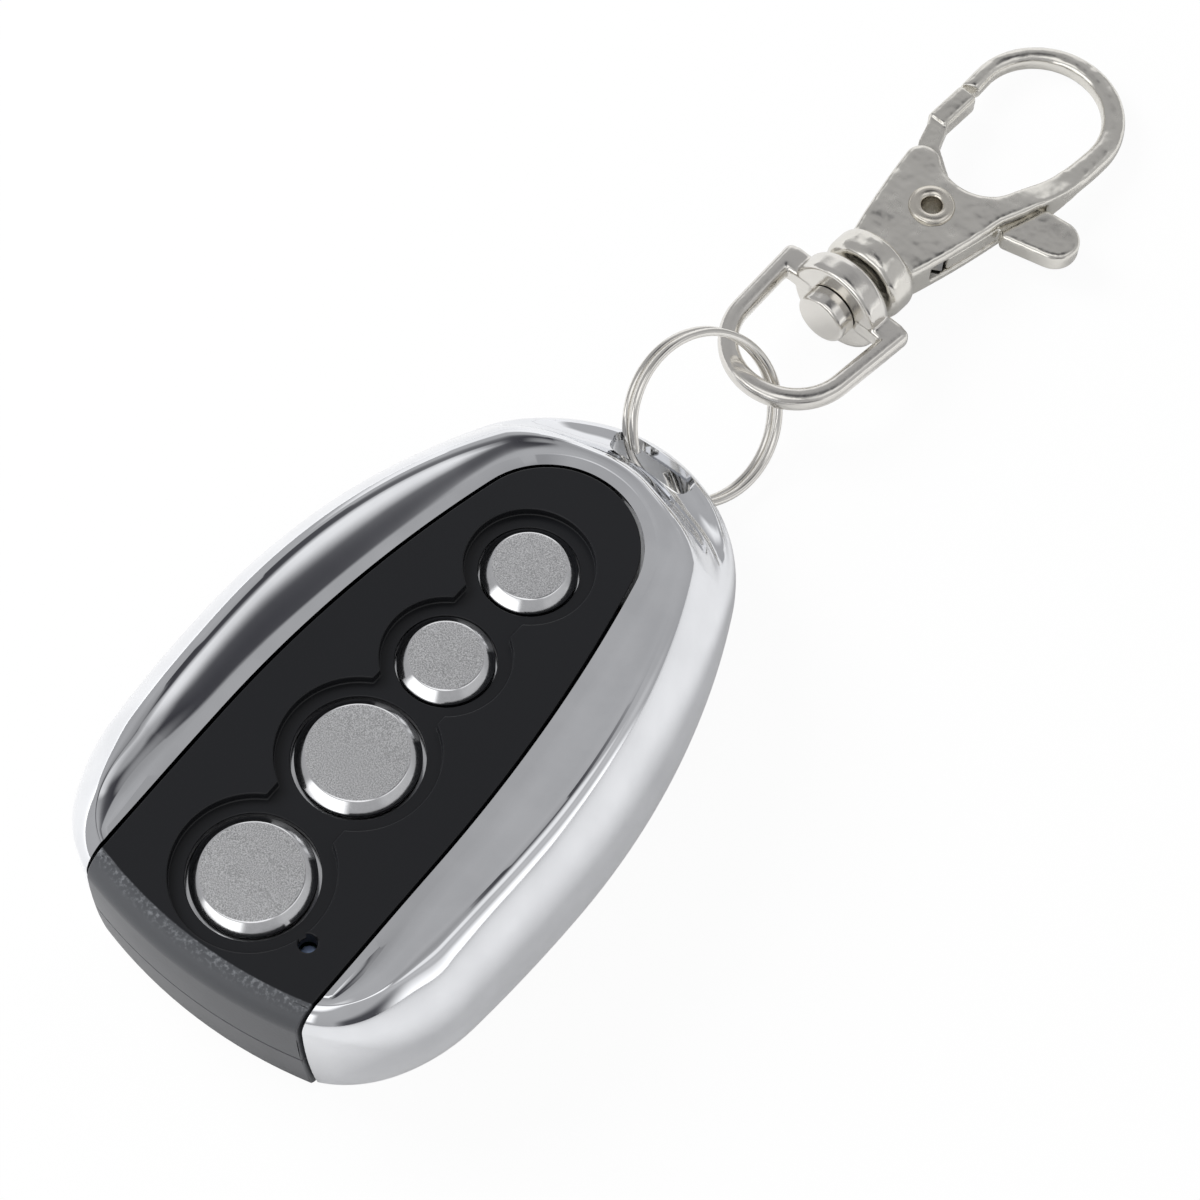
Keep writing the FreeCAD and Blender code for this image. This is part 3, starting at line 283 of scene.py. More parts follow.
nickels = {
    "ringNickel": {"dark": (0.74, 0.72, 0.68), "light": (0.82, 0.8, 0.76), "rough": 0.13, "haze": 0.1,
                   "cast": 1.5, "depth": 0.004},
    "loopNickel": {"dark": (0.72, 0.7, 0.66), "light": (0.8, 0.78, 0.74), "rough": 0.15, "haze": 0.12,
                   "cast": 0.8, "depth": 0.014},
    "claspNickel": {"dark": (0.72, 0.7, 0.65), "light": (0.8, 0.78, 0.73), "rough": 0.17, "haze": 0.14,
                    "cast": 0.2, "depth": 0.5, "pit": 0.004},
    "leverNickel": {"dark": (0.7, 0.68, 0.63), "light": (0.78, 0.76, 0.71), "rough": 0.2, "haze": 0.14,
                    "cast": 0.25, "depth": 0.35, "pit": 0.004},
    "eyeletBrass": {"dark": (0.68, 0.64, 0.57), "light": (0.78, 0.75, 0.68), "rough": 0.2, "haze": 0.15,
                    "cast": 1.2, "depth": 0.01},
}
finishes = {name: plainFinish(name, look) for name, look in looks.items()}
finishes.update({name: nickelFinish(name, look) for name, look in nickels.items()})
finishes["chrome"] = chromeFinish(chromeLook)
finishes["casing"] = casingFinish(casingLook)
finishes["blasted"] = blastedFinish(blastedLook)
finishes["turned"] = turnedFinish(turnedLook)
finishes["lens"] = lensFinish(lensLook)
print("finishes made")


def addPiece(name, bm, body, materials, stands=()):
    mesh = bpy.data.meshes.new(name)
    bm.to_mesh(mesh)
    bm.free()
    for material in materials:
        mesh.materials.append(finishes[material])
    piece = bpy.data.objects.new(name, mesh)
    scene.collection.objects.link(piece)
    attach(piece, body)
    if stands:
        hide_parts(*stands)
    return piece


def smoothCopy(node, flatDegrees, sharpDegrees):
    bm = bmesh.new()
    bm.from_mesh(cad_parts[node].data)
    bmesh.ops.remove_doubles(bm, verts=bm.verts, dist=2e-6)
    bmesh.ops.dissolve_limit(bm, angle_limit=math.radians(flatDegrees), verts=bm.verts, edges=bm.edges)
    for face in bm.faces:
        face.smooth = True
    for edge in bm.edges:
        edge.smooth = len(edge.link_faces) == 2 and edge.calc_face_angle(0) < math.radians(sharpDegrees)
    return bm


def roundEdges(piece, width, segments, angle):
    rounding = piece.modifiers.new("rounding", "BEVEL")
    rounding.width = width * mm
    rounding.segments = segments
    rounding.limit_method = "ANGLE"
    rounding.angle_limit = math.radians(angle)
    rounding.use_clamp_overlap = False


def weighNormals(piece):
    normals = piece.modifiers.new("normals", "WEIGHTED_NORMAL")
    normals.keep_sharp = True


def meshOf(thing):
    return bpy.data.meshes.new_from_object(thing.evaluated_get(bpy.context.evaluated_depsgraph_get()))


# pieces whose solid is right: same shape, smooth shading, small rounded edges
# each as name, slot, finish, width of the rounding and its segments
rounded = {
    "front_casing": ("frontCasing", "black_casing", "casing", 0.11, 3),
    "back_cover": ("backCover", "black_cover", "blackCover", 0.08, 2),
}
flatAngle, sharpAngle, roundedAngle = 0.3, 28, 30
for node, (name, slot, material, width, segments) in rounded.items():
    piece = addPiece(name, smoothCopy(node, flatAngle, sharpAngle), "remote", [material], [node])
    roundEdges(piece, width, segments, roundedAngle)
    weighNormals(piece)
print("rounded pieces made")

# cast pieces: the solid's shape with every edge worn soft, as name, body, slot, finish, voxel and passes
cast = {
    "swivel_loop": ("swivelLoop", "loop", "clasp_nickel", "loopNickel", 0.1, 12),
    "clasp_body": ("claspBody", "clasp", "clasp_nickel", "claspNickel", 0.12, 22),
    "clasp_trigger": ("claspTrigger", "trigger", "trigger_nickel", "leverNickel", 0.09, 14),
}


def makeCast(node, name, body, slot, material, voxel, passes):
    rough = bpy.data.objects.new(name + "Rough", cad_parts[node].data.copy())
    scene.collection.objects.link(rough)
    skin = rough.modifiers.new("skin", "REMESH")
    skin.mode = "VOXEL"
    skin.voxel_size = voxel * mm
    worn = rough.modifiers.new("worn", "SMOOTH")
    worn.factor = 0.5
    worn.iterations = passes
    bm = bmesh.new()
    bm.from_mesh(meshOf(rough))
    bpy.data.objects.remove(rough)
    for face in bm.faces:
        face.smooth = True
    print(name, "faces", len(bm.faces))
    addPiece(name, bm, body, [material], [node])


for node, values in cast.items():
    makeCast(node, *values)
print("cast pieces made")

# chrome surround: one section carried round the egg-shaped outline, in millimetres
surround = {
    "halfWidth": 19.898, "widestY": -5.0, "ringReach": 36.9, "tailReach": 25.5,
    "upperRadius": 64.0, "lowerRadius": 138.0, "cornerRadius": 13.9, "tailRadius": 43.0,
    "panelHalf": 10.95, "panelStraightY": -12.0, "panelRadius": 127.0, "panelReach": 35.7, "panelGap": 0.15,
    "panelTop": 15.35, "crownRadius": 320.0, "crownY": -10.5, "equator": 7.2, "ringEquator": 5.9,
    "crestInset": 3.8, "crestRise": 1.3, "crestFallRadius": 120.0, "crestFallY": -2.0, "ridgeInset": 5.8,
    "ridgeRise": 0.15, "bottomInset": 1.5, "ringBottomInset": 0.5, "edgeRound": 0.35, "lipWidth": 1.1,
    "hollow": 0.28, "tailDraft": 0.95, "tailFace": 12.65, "tailRound": 1.8, "tabTop": 8.2, "tabRound": 1.2,
    "tabUnder": 4.2, "rampY": 22.0, "slotLength": 7.9, "slotWidth": 2.1, "barWidth": 1.45, "bevelWidth": 0.6,
    "bevelHeight": 0.8, "coverThick": 1.4, "wall": 3.1, "rim": 1.0, "lowCavity": (10.35, 20.0),
    "highCavity": (12.85, 4.8, 15.5), "crestRound": 1.1, "finer": 5, "cutTop": 20, "trimY": -15,
    "tailBlend": (-64, 46), "ringBlend": (12, 52), "crestBlend": (-62, 52), "ridgeBlend": (15, 60),
    "equatorBlend": (-10, 60), "lowBlend": (0, 40), "roundBlend": (-27, 9), "sharpAngle": 11,
    "tailFallY": -12, "tailFallSpan": 15.2, "tailCrest": 0.05, "ringCrestPull": 3.4, "ringKneePull": 2.4,
    "ringKneeDrop": 0.65, "ringSideRise": 1.25, "ringKneeWay": (1.0, 0.02), "ringCrestWay": (0.45, 0.89),
    "lipGap": 0.8, "lipDepth": 1.2,
}


def easeIn(x):
    x = min(max(x, 0.0), 1.0)
    return x * x * (3 - 2 * x)


# how far a value is through a blend, given as its start and its span
def through(x, blend):
    return easeIn((x - blend[0]) / blend[1])


def endRadius(reach, half, side):
    return (side ** 2 - reach ** 2 - (side - half) ** 2) / (2 * (side - reach))


def planAngle(v):
    return math.degrees(math.atan2(v.y, v.x))


def onArc(centre, radius, degrees):
    a = math.radians(degrees)
    return centre + Vector((math.cos(a), math.sin(a))) * radius


class Surround:
    def __init__(self, s):
        self.s = s
        tailY = s["widestY"] - s["tailReach"]
        self.ringY = s["widestY"] + s["ringReach"]
        self.endR = endRadius(s["ringReach"], s["halfWidth"], s["upperRadius"])
        self.endC = Vector((0, self.ringY - self.endR))
        self.upperC = Vector((s["halfWidth"] - s["upperRadius"], s["widestY"]))
        self.lowerC = Vector((s["halfWidth"] - s["lowerRadius"], s["widestY"]))
        self.tailC = Vector((0, tailY + s["tailRadius"]))
        a, b = s["lowerRadius"] - s["cornerRadius"], s["tailRadius"] - s["cornerRadius"]
        across = self.tailC - self.lowerC
        span = across.length
        along = (a * a - b * b + span * span) / (2 * span)
        unit = across / span
        aside = Vector((unit.y, -unit.x)) * math.sqrt(a * a - along * along)
        self.cornerC = self.lowerC + unit * along + aside
        self.tailTurn = planAngle(self.cornerC - self.tailC)
        self.cornerTurn = planAngle(self.cornerC - self.lowerC)
        self.endTurn = planAngle(self.endC - self.upperC)
        self.panelEndR = endRadius(s["panelReach"], s["panelHalf"], s["panelRadius"])
        self.panelEndC = Vector((0, s["panelStraightY"] + s["panelReach"] - self.panelEndR))
        self.panelSideC = Vector((s["panelHalf"] - s["panelRadius"], s["panelStraightY"]))
        self.panelTurn = planAngle(self.panelEndC - self.panelSideC)

    def outline(self, phi):
        s = self.s
        if phi < self.tailTurn:
            return onArc(self.tailC, s["tailRadius"], phi)
        if phi < self.cornerTurn:
            return onArc(self.cornerC, s["cornerRadius"], phi)
        if phi < 0:
            return onArc(self.lowerC, s["lowerRadius"], phi)
        if phi < self.endTurn:
            return onArc(self.upperC, s["upperRadius"], phi)
        return onArc(self.endC, self.endR, phi)

    def outsidePanel(self, p):
        if p.y < self.s["panelStraightY"]:
            return p.x - self.s["panelHalf"]
        if planAngle(p - self.panelEndC) > self.panelTurn:
            return (p - self.panelEndC).length - self.panelEndR
        return (p - self.panelSideC).length - self.s["panelRadius"]

    def insetTo(self, phi, gap):
        start, inward = self.outline(phi), -onArc(Vector((0, 0)), 1, phi)
        low, high = 0.0, 12.0
        for _ in range(40):
            mid = (low + high) / 2
            if self.outsidePanel(start + inward * mid) > gap:
                low = mid
            else:
                high = mid
        return low

    def crown(self, y):
        return self.s["panelTop"] - (y - self.s["crownY"]) ** 2 / (2 * self.s["crownRadius"])

    def crest(self, y):
        s = self.s
        fall = max(y - s["crestFallY"], 0) ** 2 / (2 * s["crestFallRadius"])
        height = s["panelTop"] + s["crestRise"] - fall
        if y < s["crestFallY"]:
            rise = s["crestRise"] + s["panelTop"] - self.crown(y)
            height -= easeIn((s["tailFallY"] - y) / s["tailFallSpan"]) * (rise - s["tailCrest"])
        return max(height, self.crown(y) + s["ridgeRise"]) if y > 0 else height

    def underside(self, y):
        s = self.s
        rampEnd = self.ringY - s["barWidth"] - s["slotWidth"] - 1
        return s["tabUnder"] * min(max((y - s["rampY"]) / (rampEnd - s["rampY"]), 0), 1)

    def stations(self):
        coarse = [-78, -70, -62, -54, -46, -38, -30, -22, -14, self.cornerTurn, self.cornerTurn / 2, 0.01]
        coarse += [self.endTurn * k / 7 for k in range(1, 8)]
        coarse += [self.endTurn + (90 - self.endTurn) * k / 6 for k in range(1, 7)]
        finer = self.s["finer"]
        fine = [a + (b - a) * k / finer for a, b in zip(coarse, coarse[1:]) for k in range(finer)]
        return fine + [90.0]

    def section(self, phi):
        s = self.s
        toTail = 1 - through(phi, s["tailBlend"])
        toRing = through(phi, s["ringBlend"])
        inset = s["tailRound"] + (s["crestInset"] - s["tailRound"]) * through(phi, s["crestBlend"])
        inset += (s["ridgeInset"] - s["crestInset"]) * through(phi, s["ridgeBlend"])
        start, inward = self.outline(phi), -onArc(Vector((0, 0)), 1, phi)
        crest = self.crest(start.y - inset * math.sin(math.radians(phi)))
        widest = s["equator"] + (s["ringEquator"] - s["equator"]) * through(phi, s["equatorBlend"])
        widest += (s["tailFace"] - widest) * toTail
        full = 2 * math.atan2(inset, crest - widest)
        radius = (crest - widest) / math.sin(full)
        half = full / 2
        handle = 4 / 3 * math.tan(half / 4) * radius

        def mix(a, b):
            return a + (b - a) * toRing

        knee = Vector((mix(radius * (1 - math.cos(half)), s["tabRound"]),
                       mix(widest + radius * math.sin(half), s["tabTop"])))
        kneeWay = Vector(map(mix, (math.sin(half), math.cos(half)), s["ringKneeWay"]))
        crestWay = Vector(map(mix, (math.sin(full), math.cos(full)), s["ringCrestWay"]))
        top = Vector((inset, crest))
        toPanel = self.insetTo(phi, 0)
        wallAt = self.insetTo(phi, s["panelGap"])
        lip = max(toPanel - s["lipWidth"], inset + s["lipGap"])
        lipTop = min(self.crown((start + inward * (inset + 1)).y), crest)
        inner = wallAt if wallAt > lip else lip + s["lipDepth"]
        low = s["bottomInset"] + (s["ringBottomInset"] - s["bottomInset"]) * through(phi, s["lowBlend"])
        low += (s["tailDraft"] - low) * toTail
        edge = s["edgeRound"]
        lipPoint = Vector((lip, lipTop))
        sag = (top + lipPoint) / 2 - Vector((0, 2 * s["hollow"] * min(1, (lip - inset) / 3)))
        facet = (lipPoint, sag, top)
        crestPull = crestWay * mix(handle, s["ringCrestPull"])
        kneePull = kneeWay * mix(handle, s["ringKneePull"])
        flank = (top, top - crestPull, knee + kneePull, knee)
        reach = s["crestRound"] * (0.1 + 0.9 * through(start.y, s["roundBlend"]))
        shoulder = 1 - min(reach / (2 * (top - sag).length), 0.4)
        turn = min(reach / (3 * (flank[1] - top).length), 0.4)
        over = (bezierPoint(facet, shoulder), top, bezierPoint(flank, turn))
        kneeDrop = kneeWay * mix(handle, s["ringKneeDrop"])
        sideTop = widest + mix(handle, s["ringSideRise"])
        # each as poles, steps, and the first and last place along it
        curves = (
            (facet, 10, 0, shoulder),
            (over, 8, 0, 1),
            (flank, 14, turn, 1),
            ((knee, knee - kneeDrop, Vector((0, sideTop)), Vector((0, widest))), 12, 0, 1),
            (((0, widest), (0, widest * 0.55), (low * 0.7, edge + 1.6), (low, edge)), 8, 0, 1),
            (((low, edge), (low + 0.05, 0), (low + edge, 0)), 3, 0, 1),
        )
        points = [Vector((inner, lipTop)), lipPoint]
        for poles, steps, first, last in curves:
            points += [bezierPoint([Vector(p) for p in poles], first + (last - first) * k / steps)
                       for k in range(1, steps + 1)]
        rim = s["bottomInset"] + s["rim"]
        lowTop, lowEnd = s["lowCavity"]
        highTop, highInset, highEnd = s["highCavity"]
        y = (start + inward * 4).y
        base = self.underside(y)
        sill = s["coverThick"] if y < s["rampY"] - 1 else base
        roomA = lowTop if y < lowEnd else sill
        roomB = highTop if y < highEnd else roomA
        inside = [(rim, base), (rim, sill), (s["wall"], sill), (s["wall"], roomA), (highInset, roomA),
                  (highInset, roomB), (inner, roomB)]
        points += [Vector((min(d, inner), z)) for d, z in inside]
        placed = []
        for d, z in points:
            p = start + inward * d
            placed.append(Vector((p.x, p.y, max(z, self.underside(p.y)))))
        return placed


def bezierPoint(poles, t):
    while len(poles) > 1:
        poles = [a + (b - a) * t for a, b in zip(poles, poles[1:])]
    return poles[0]


def stadium(bm, half, radius, y, z):
    made = bmesh.ops.create_circle(bm, cap_ends=False, segments=64, radius=radius)["verts"]
    for vert in made:
        vert.co = Vector((vert.co.x + math.copysign(half, vert.co.x), vert.co.y + y, z))
    return list({e for v in made for e in v.link_edges})


def slotCutter(shape):
    s = shape.s
    half = (s["slotLength"] - s["slotWidth"]) / 2
    radius = s["slotWidth"] / 2
    y = shape.ringY - s["barWidth"] - radius
    bm = bmesh.new()
    heights = (-1, s["tabTop"] - s["bevelHeight"], s["tabTop"], s["cutTop"])
    rings = [stadium(bm, half, radius, y, z) for z in heights]
    for ring, z in list(zip(rings, heights))[2:]:
        for vert in {v for e in ring for v in e.verts}:
            if vert.co.y > y:
                middle = Vector((min(max(vert.co.x, -half), half), y, z))
                way = (vert.co - middle).normalized()
                vert.co = middle + way * (radius + s["bevelWidth"] * way.y)
    for a, b in zip(rings, rings[1:]):
        bmesh.ops.bridge_loops(bm, edges=a + b)
    for rim in (rings[0], rings[-1]):
        bmesh.ops.edgeloop_fill(bm, edges=rim)
    bmesh.ops.recalc_face_normals(bm, faces=bm.faces)
    bmesh.ops.scale(bm, vec=(mm, mm, mm), verts=bm.verts)
    mesh = bpy.data.meshes.new("slotCutter")
    bm.to_mesh(mesh)
    bm.free()
    return bpy.data.objects.new("slotCutter", mesh)


def makeSurround(s):
    shape = Surround(s)
    bm = bmesh.new()
    column = bm.verts.layers.int.new("column")
    stations = shape.stations()
    sections = [shape.section(phi) for phi in stations]
    sections += [[Vector((-p.x, p.y, p.z)) for p in sec] for sec in reversed(sections[:-1])]
    bmesh.ops.create_circle(bm, cap_ends=False, segments=len(sections[0]), radius=1)
    for k, vert in enumerate(bm.verts):
        vert[column] = k
    edges = bm.edges[:]
    firstRim = edges
    for k, sec in enumerate(sections):
        if k:
            grown = bmesh.ops.extrude_edge_only(bm, edges=edges)["geom"]
            edges = [g for g in grown if isinstance(g, bmesh.types.BMEdge)]
        for vert in {v for e in edges for v in e.verts}:
            vert.co = sec[vert[column]]
    for rim in (firstRim, edges):
        bmesh.ops.edgeloop_fill(bm, edges=rim)
    bmesh.ops.recalc_face_normals(bm, faces=bm.faces)
    edgeX = s["panelHalf"] + s["panelGap"]
    for side in (-1, 1):
        middles = [(f, f.calc_center_median()) for f in bm.faces]
        tail = [f for f, middle in middles if middle.y < s["trimY"] and middle.x * side > -0.5]
        geom = list({v for f in tail for v in f.verts}) + list({e for f in tail for e in f.edges}) + tail
        bmesh.ops.bisect_plane(bm, geom=geom, dist=1e-4, plane_co=(edgeX * side, 0, 0),
                               plane_no=(-side, 0, 0), clear_outer=True)
    bmesh.ops.remove_doubles(bm, verts=bm.verts, dist=1e-3)
    bmesh.ops.dissolve_degenerate(bm, dist=1e-4, edges=bm.edges)
    bmesh.ops.holes_fill(bm, edges=[e for e in bm.edges if e.is_boundary], sides=0)
    bmesh.ops.recalc_face_normals(bm, faces=bm.faces)
    print("surround open edges", sum(e.is_boundary for e in bm.edges), "verts", len(bm.verts))
    bmesh.ops.scale(bm, vec=(mm, mm, mm), verts=bm.verts)
    mesh = bpy.data.meshes.new("surroundBlank")
    bm.to_mesh(mesh)
    bm.free()
    blank = bpy.data.objects.new("surroundBlank", mesh)
    cutter = slotCutter(shape)
    for o in (blank, cutter):
        scene.collection.objects.link(o)
    cut = blank.modifiers.new("slot", "BOOLEAN")
    cut.object = cutter
    cut.solver = "EXACT"
    result = bmesh.new()
    result.from_mesh(meshOf(blank))
    for o in (blank, cutter):
        bpy.data.objects.remove(o)
    for face in result.faces:
        face.smooth = True
    for edge in result.edges:
        edge.smooth = len(edge.link_faces) == 2 and edge.calc_face_angle(0) < math.radians(s["sharpAngle"])
    piece = addPiece("chromeSurround", result, "remote", ["chrome"], ["chrome_shell"])
    weighNormals(piece)


makeSurround(surround)
print("surround made")

# buttons, in millimetres, from the tail to the ring end
buttons = {
    "places": (-21.4, -8.3, 2.8, 13.5),
    "radii": (5.15, 5.15, 4.0, 4.0),
    "crownRadius": 320.0,
    "crownY": -10.5,
    "panelTop": 15.35,
    "rise": 0.1,
    "chamfer": 0.87,
    "edgeRound": 0.14,
    "lowerRound": 0.1,
    "topLean": 0.96,
    "topFrom": -0.2,
    "flangeTop": -1.9,
    "flangeThick": 0.5,
    "flangeStep": 0.7,
    "stemRadius": 2.0,
    "stemEnd": 11.5,
    "turns": 128,
}


def spinProfile(points, steps, roundings):
    bm = bmesh.new()
    verts = [bm.verts.new((r * mm, 0, z * mm)) for r, z in points]
    for a, b in zip(verts, verts[1:]):
        bm.edges.new((a, b))
    bmesh.ops.spin(bm, geom=bm.verts[:] + bm.edges[:], cent=(0, 0, 0), axis=(0, 0, 1), angle=math.tau,
                   steps=steps, use_merge=True)
    bmesh.ops.remove_doubles(bm, verts=bm.verts, dist=1e-7)
    bmesh.ops.recalc_face_normals(bm, faces=bm.faces)
    for radius, height, width, segments in roundings:
        rim = [e for e in bm.edges if all(abs(v.co.xy.length - radius * mm) < 2e-6 and
                                          abs(v.co.z - height * mm) < 2e-6 for v in e.verts)]
        bmesh.ops.bevel(bm, geom=rim, offset=width * mm, affect="EDGES", segments=segments, profile=0.5,
                        material=-1)
    for face in bm.faces:
        face.smooth = True
    for edge in bm.edges:
        edge.smooth = len(edge.link_faces) == 2 and edge.calc_face_angle(0) < math.radians(sharpAngle)
    return bm


def makeButton(k, b):
    y, radius = b["places"][k], b["radii"][k]
    slope = math.asin((y - b["crownY"]) / b["crownRadius"])
    height = b["panelTop"] - (y - b["crownY"]) ** 2 / (2 * b["crownRadius"])
    low = b["flangeTop"] - b["flangeThick"]
    end = b["stemEnd"] - height
    face = radius - b["chamfer"]
    profile = [(0, end), (b["stemRadius"], end), (b["stemRadius"], low), (radius + b["flangeStep"], low),
               (radius + b["flangeStep"], b["flangeTop"]), (radius, b["flangeTop"]),
               (radius, b["rise"] - b["chamfer"]), (face, b["rise"]), (0, b["rise"])]
    roundings = [(face, b["rise"], b["edgeRound"], 4), (radius, b["rise"] - b["chamfer"], b["lowerRound"], 3)]
    bm = spinProfile(profile, b["turns"], roundings)
    for f in bm.faces:
        onTop = f.normal.z > b["topLean"] and f.calc_center_median().z > b["topFrom"] * mm
        f.material_index = 0 if onTop else 1
    place = Matrix.Translation(Vector((0, y, height)) * mm) @ Matrix.Rotation(-slope, 4, "X")
    bmesh.ops.transform(bm, matrix=place, verts=bm.verts)
    addPiece("buttonCap%d" % (k + 1), bm, "button_%d" % (k + 1), ["blasted", "turned"],
             ["button_cap_%d" % (k + 1)])


for k in range(4):
    makeButton(k, buttons)
print("buttons made")

# swivel rivet and eyelet, turned in the clasp's own frame: u along the clasp, t out of its face
clasp = {
    "swivel": (1.75, 53.89), "collarRadius": 4.45, "collarRest": -0.7, "collarStart": -1.45, "hookThick": 2.0,
    "hookReach": 33.65, "lean": 3.6, "lift": 0.02, "pivot": 11.3, "plateThick": 4.0,
    "rivet": {
        "headRadius": 2.4, "headThick": 1.75, "fit": 0.08, "round": 0.4, "chamfer": 0.08, "shankRadius": 1.5,
        "shankEnd": 3.87, "turns": 96,
    },
    "eyelet": {"bore": 0.86, "tube": 1.25, "lipRadius": 2.03, "lipThick": 0.45, "steps": 12, "turns": 72},
}


def claspFrame(c):
    pitch = math.asin((c["collarRadius"] - c["hookThick"] / 2) / (c["hookReach"] - c["collarRest"]))
    height = c["collarRadius"] * math.cos(pitch) - c["collarRest"] * math.sin(pitch) + c["lift"]
    turn = Matrix.Rotation(-math.radians(c["lean"]), 4, "Z") @ Matrix.Rotation(-pitch, 4, "X")
    return Matrix.Scale(mm, 4) @ Matrix.Translation((*c["swivel"], height)) @ turn


def turnedPiece(name, profile, steps, place, finish, stands):
    bm = spinProfile(profile, steps, [])
    bmesh.ops.scale(bm, vec=(1 / mm,) * 3, verts=bm.verts)
    bmesh.ops.transform(bm, matrix=place, verts=bm.verts)
    addPiece(name, bm, "clasp", [finish], [stands])


def makeClaspParts(c):
    frameAt = claspFrame(c)
    r, e = c["rivet"], c["eyelet"]
    top = c["collarStart"] - r["fit"]
    low = top - r["headThick"]
    corner = [(r["headRadius"] - r["round"] * (1 - math.sin(math.radians(a))),
               low + r["round"] * (1 - math.cos(math.radians(a)))) for a in range(0, 91, 15)]
    wide, narrow, end = r["headRadius"], r["shankRadius"], r["shankEnd"]
    profile = [(0, low), *corner, (wide, top - r["chamfer"]), (wide - r["chamfer"], top), (narrow, top),
               (narrow, end), (0, end)]
    turnedPiece("swivelRivet", profile, r["turns"], frameAt @ Matrix.Rotation(-math.pi / 2, 4, "X"),
                "loopNickel", "swivel_rivet")
    half = c["plateThick"] / 2
    middle, reach = (e["bore"] + e["lipRadius"]) / 2, (e["lipRadius"] - e["bore"]) / 2
    lip = [(middle - reach * math.cos(math.pi * k / e["steps"]),
            half + e["lipThick"] * math.sin(math.pi * k / e["steps"])) for k in range(e["steps"] + 1)]
    profile = lip + [(e["tube"], half)]
    profile += [(x, -z) for x, z in reversed(profile)] + [lip[0]]
    turnedPiece("claspEyelet", profile, e["turns"], frameAt @ Matrix.Translation((0, c["pivot"], 0)),
                "eyeletBrass", "clasp_eyelet")


makeClaspParts(clasp)
print("rivet and eyelet made")

# split ring: one wire in two turns, with the crossover between its ends
splitRing = {
    "wire": 0.7,
    "meanRadius": 7.3,
    "turnGap": 0.42,
    "crossAngle": 16.0,
    "startAngle": -90.0,
    "centre": (0.02, 36.57, 6.25),
    "tilt": 48.9,
    "yaw": -5.9,
    "sides": 24,
    "stepDegrees": 4.0,
    "endRound": 0.06,
}


def makeSplitRing(s):
    rise = s["wire"] + s["turnGap"]
    cross = s["crossAngle"]
    path = []
    steps = int(round((720 - 2 * cross) / s["stepDegrees"]))
    for k in range(steps + 1):
        angle = cross + (720 - 2 * cross) * k / steps
        ease = easeIn((angle - (360 - cross)) / (2 * cross))
        a = math.radians(angle)
        flat = Vector((math.cos(a), math.sin(a), 0)) * s["meanRadius"]
        path.append(flat + Vector((0, 0, (ease - 0.5) * rise)))
    bm = bmesh.new()
    column = bm.verts.layers.int.new("column")
    bmesh.ops.create_circle(bm, cap_ends=False, segments=s["sides"], radius=s["wire"] / 2)
    section = [v.co.copy() for v in bm.verts]
    for k, vert in enumerate(bm.verts):
        vert[column] = k
    edges = bm.edges[:]
    ends = [edges]
    for k, point in enumerate(path):
        ahead = (path[min(k + 1, len(path) - 1)] - path[max(k - 1, 0)]).normalized()
        across = Vector((point.x, point.y, 0)).normalized()
        turn = Matrix((across, ahead.cross(across), ahead)).transposed()
        if k:
            grown = bmesh.ops.extrude_edge_only(bm, edges=edges)["geom"]
            edges = [g for g in grown if isinstance(g, bmesh.types.BMEdge)]
        for vert in {v for e in edges for v in e.verts}:
            vert.co = point + turn @ section[vert[column]]
    ends.append(edges)
    for rim in ends:
        bmesh.ops.edgeloop_fill(bm, edges=rim)
        bmesh.ops.bevel(bm, geom=rim, offset=s["endRound"], affect="EDGES", segments=2, profile=0.5,
                        material=-1)
    bmesh.ops.recalc_face_normals(bm, faces=bm.faces)
    for face in bm.faces:
        face.smooth = True
    yaw, tilt, start = (Matrix.Rotation(math.radians(s[key]), 4, axis)
                        for key, axis in (("yaw", "Z"), ("tilt", "Y"), ("startAngle", "Z")))
    place = Matrix.Scale(mm, 4) @ Matrix.Translation(s["centre"]) @ (yaw @ tilt @ start)
    bmesh.ops.transform(bm, matrix=place, verts=bm.verts)
    addPiece("splitRing", bm, "ring", ["ringNickel"], ["split_ring"])


makeSplitRing(splitRing)
print("split ring made")

# solids that stay as they are, with their finish
kept = {
    "cover_screws": "screwZinc", "circuit_board": "boardGreen", "status_led": "lens",
    "encoder_chip": "chipBlack", "rf_transistor": "chipBlack", "saw_resonator": "resonatorCan",
    "antenna_loop": "copperTrack", "coin_cell": "cellSteel", "battery_clip": "clipSteel",
    "battery_pad": "clipSteel", "clasp_spring": "springSteel",
}
kept.update({"switch_plunger_%d" % k: "plungerBlack" for k in range(1, 5)})
kept.update({"tact_switch_%d" % k: "switchSteel" for k in range(1, 5)})
for node, material in kept.items():
    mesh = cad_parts[node].data
    mesh.materials.clear()
    mesh.materials.append(finishes[material])
print("solids dressed")

# studio: soft boxes as azimuth, width, lowest and highest elevation, level and edge, in degrees
studio = {
    "floorSize": 6.0,
    "floorColour": 0.8,
    "floorVary": 0.01,
    "floorWhite": {"Is Camera Ray": 0.95, "Is Glossy Ray": 0.1, "Is Transmission Ray": 0.1},
    "sky": ((0.0, 0.42), (0.35, 0.44), (0.72, 0.46), (0.9, 0.42), (1.0, 0.34)),
    "boxes": (
        (350, 60, 8, 40, 1.2, 6),
        (100, 50, -8, 7, 1.0, 8),
        (108, 70, 12, 34, 0.12, 8),
        (108, 60, 40, 62, 0.5, 6),
        (214, 40, -6, 32, 0.6, 6),
        (15, 110, 56, 90, 0.8, 6),
        (165, 80, 60, 82, -0.32, 8),
        (62, 30, -8, 14, -0.35, 6),
    ),
    "key": {"azimuth": 275, "elevation": 40, "distance": 0.7, "size": 0.42, "power": 5.0},
}


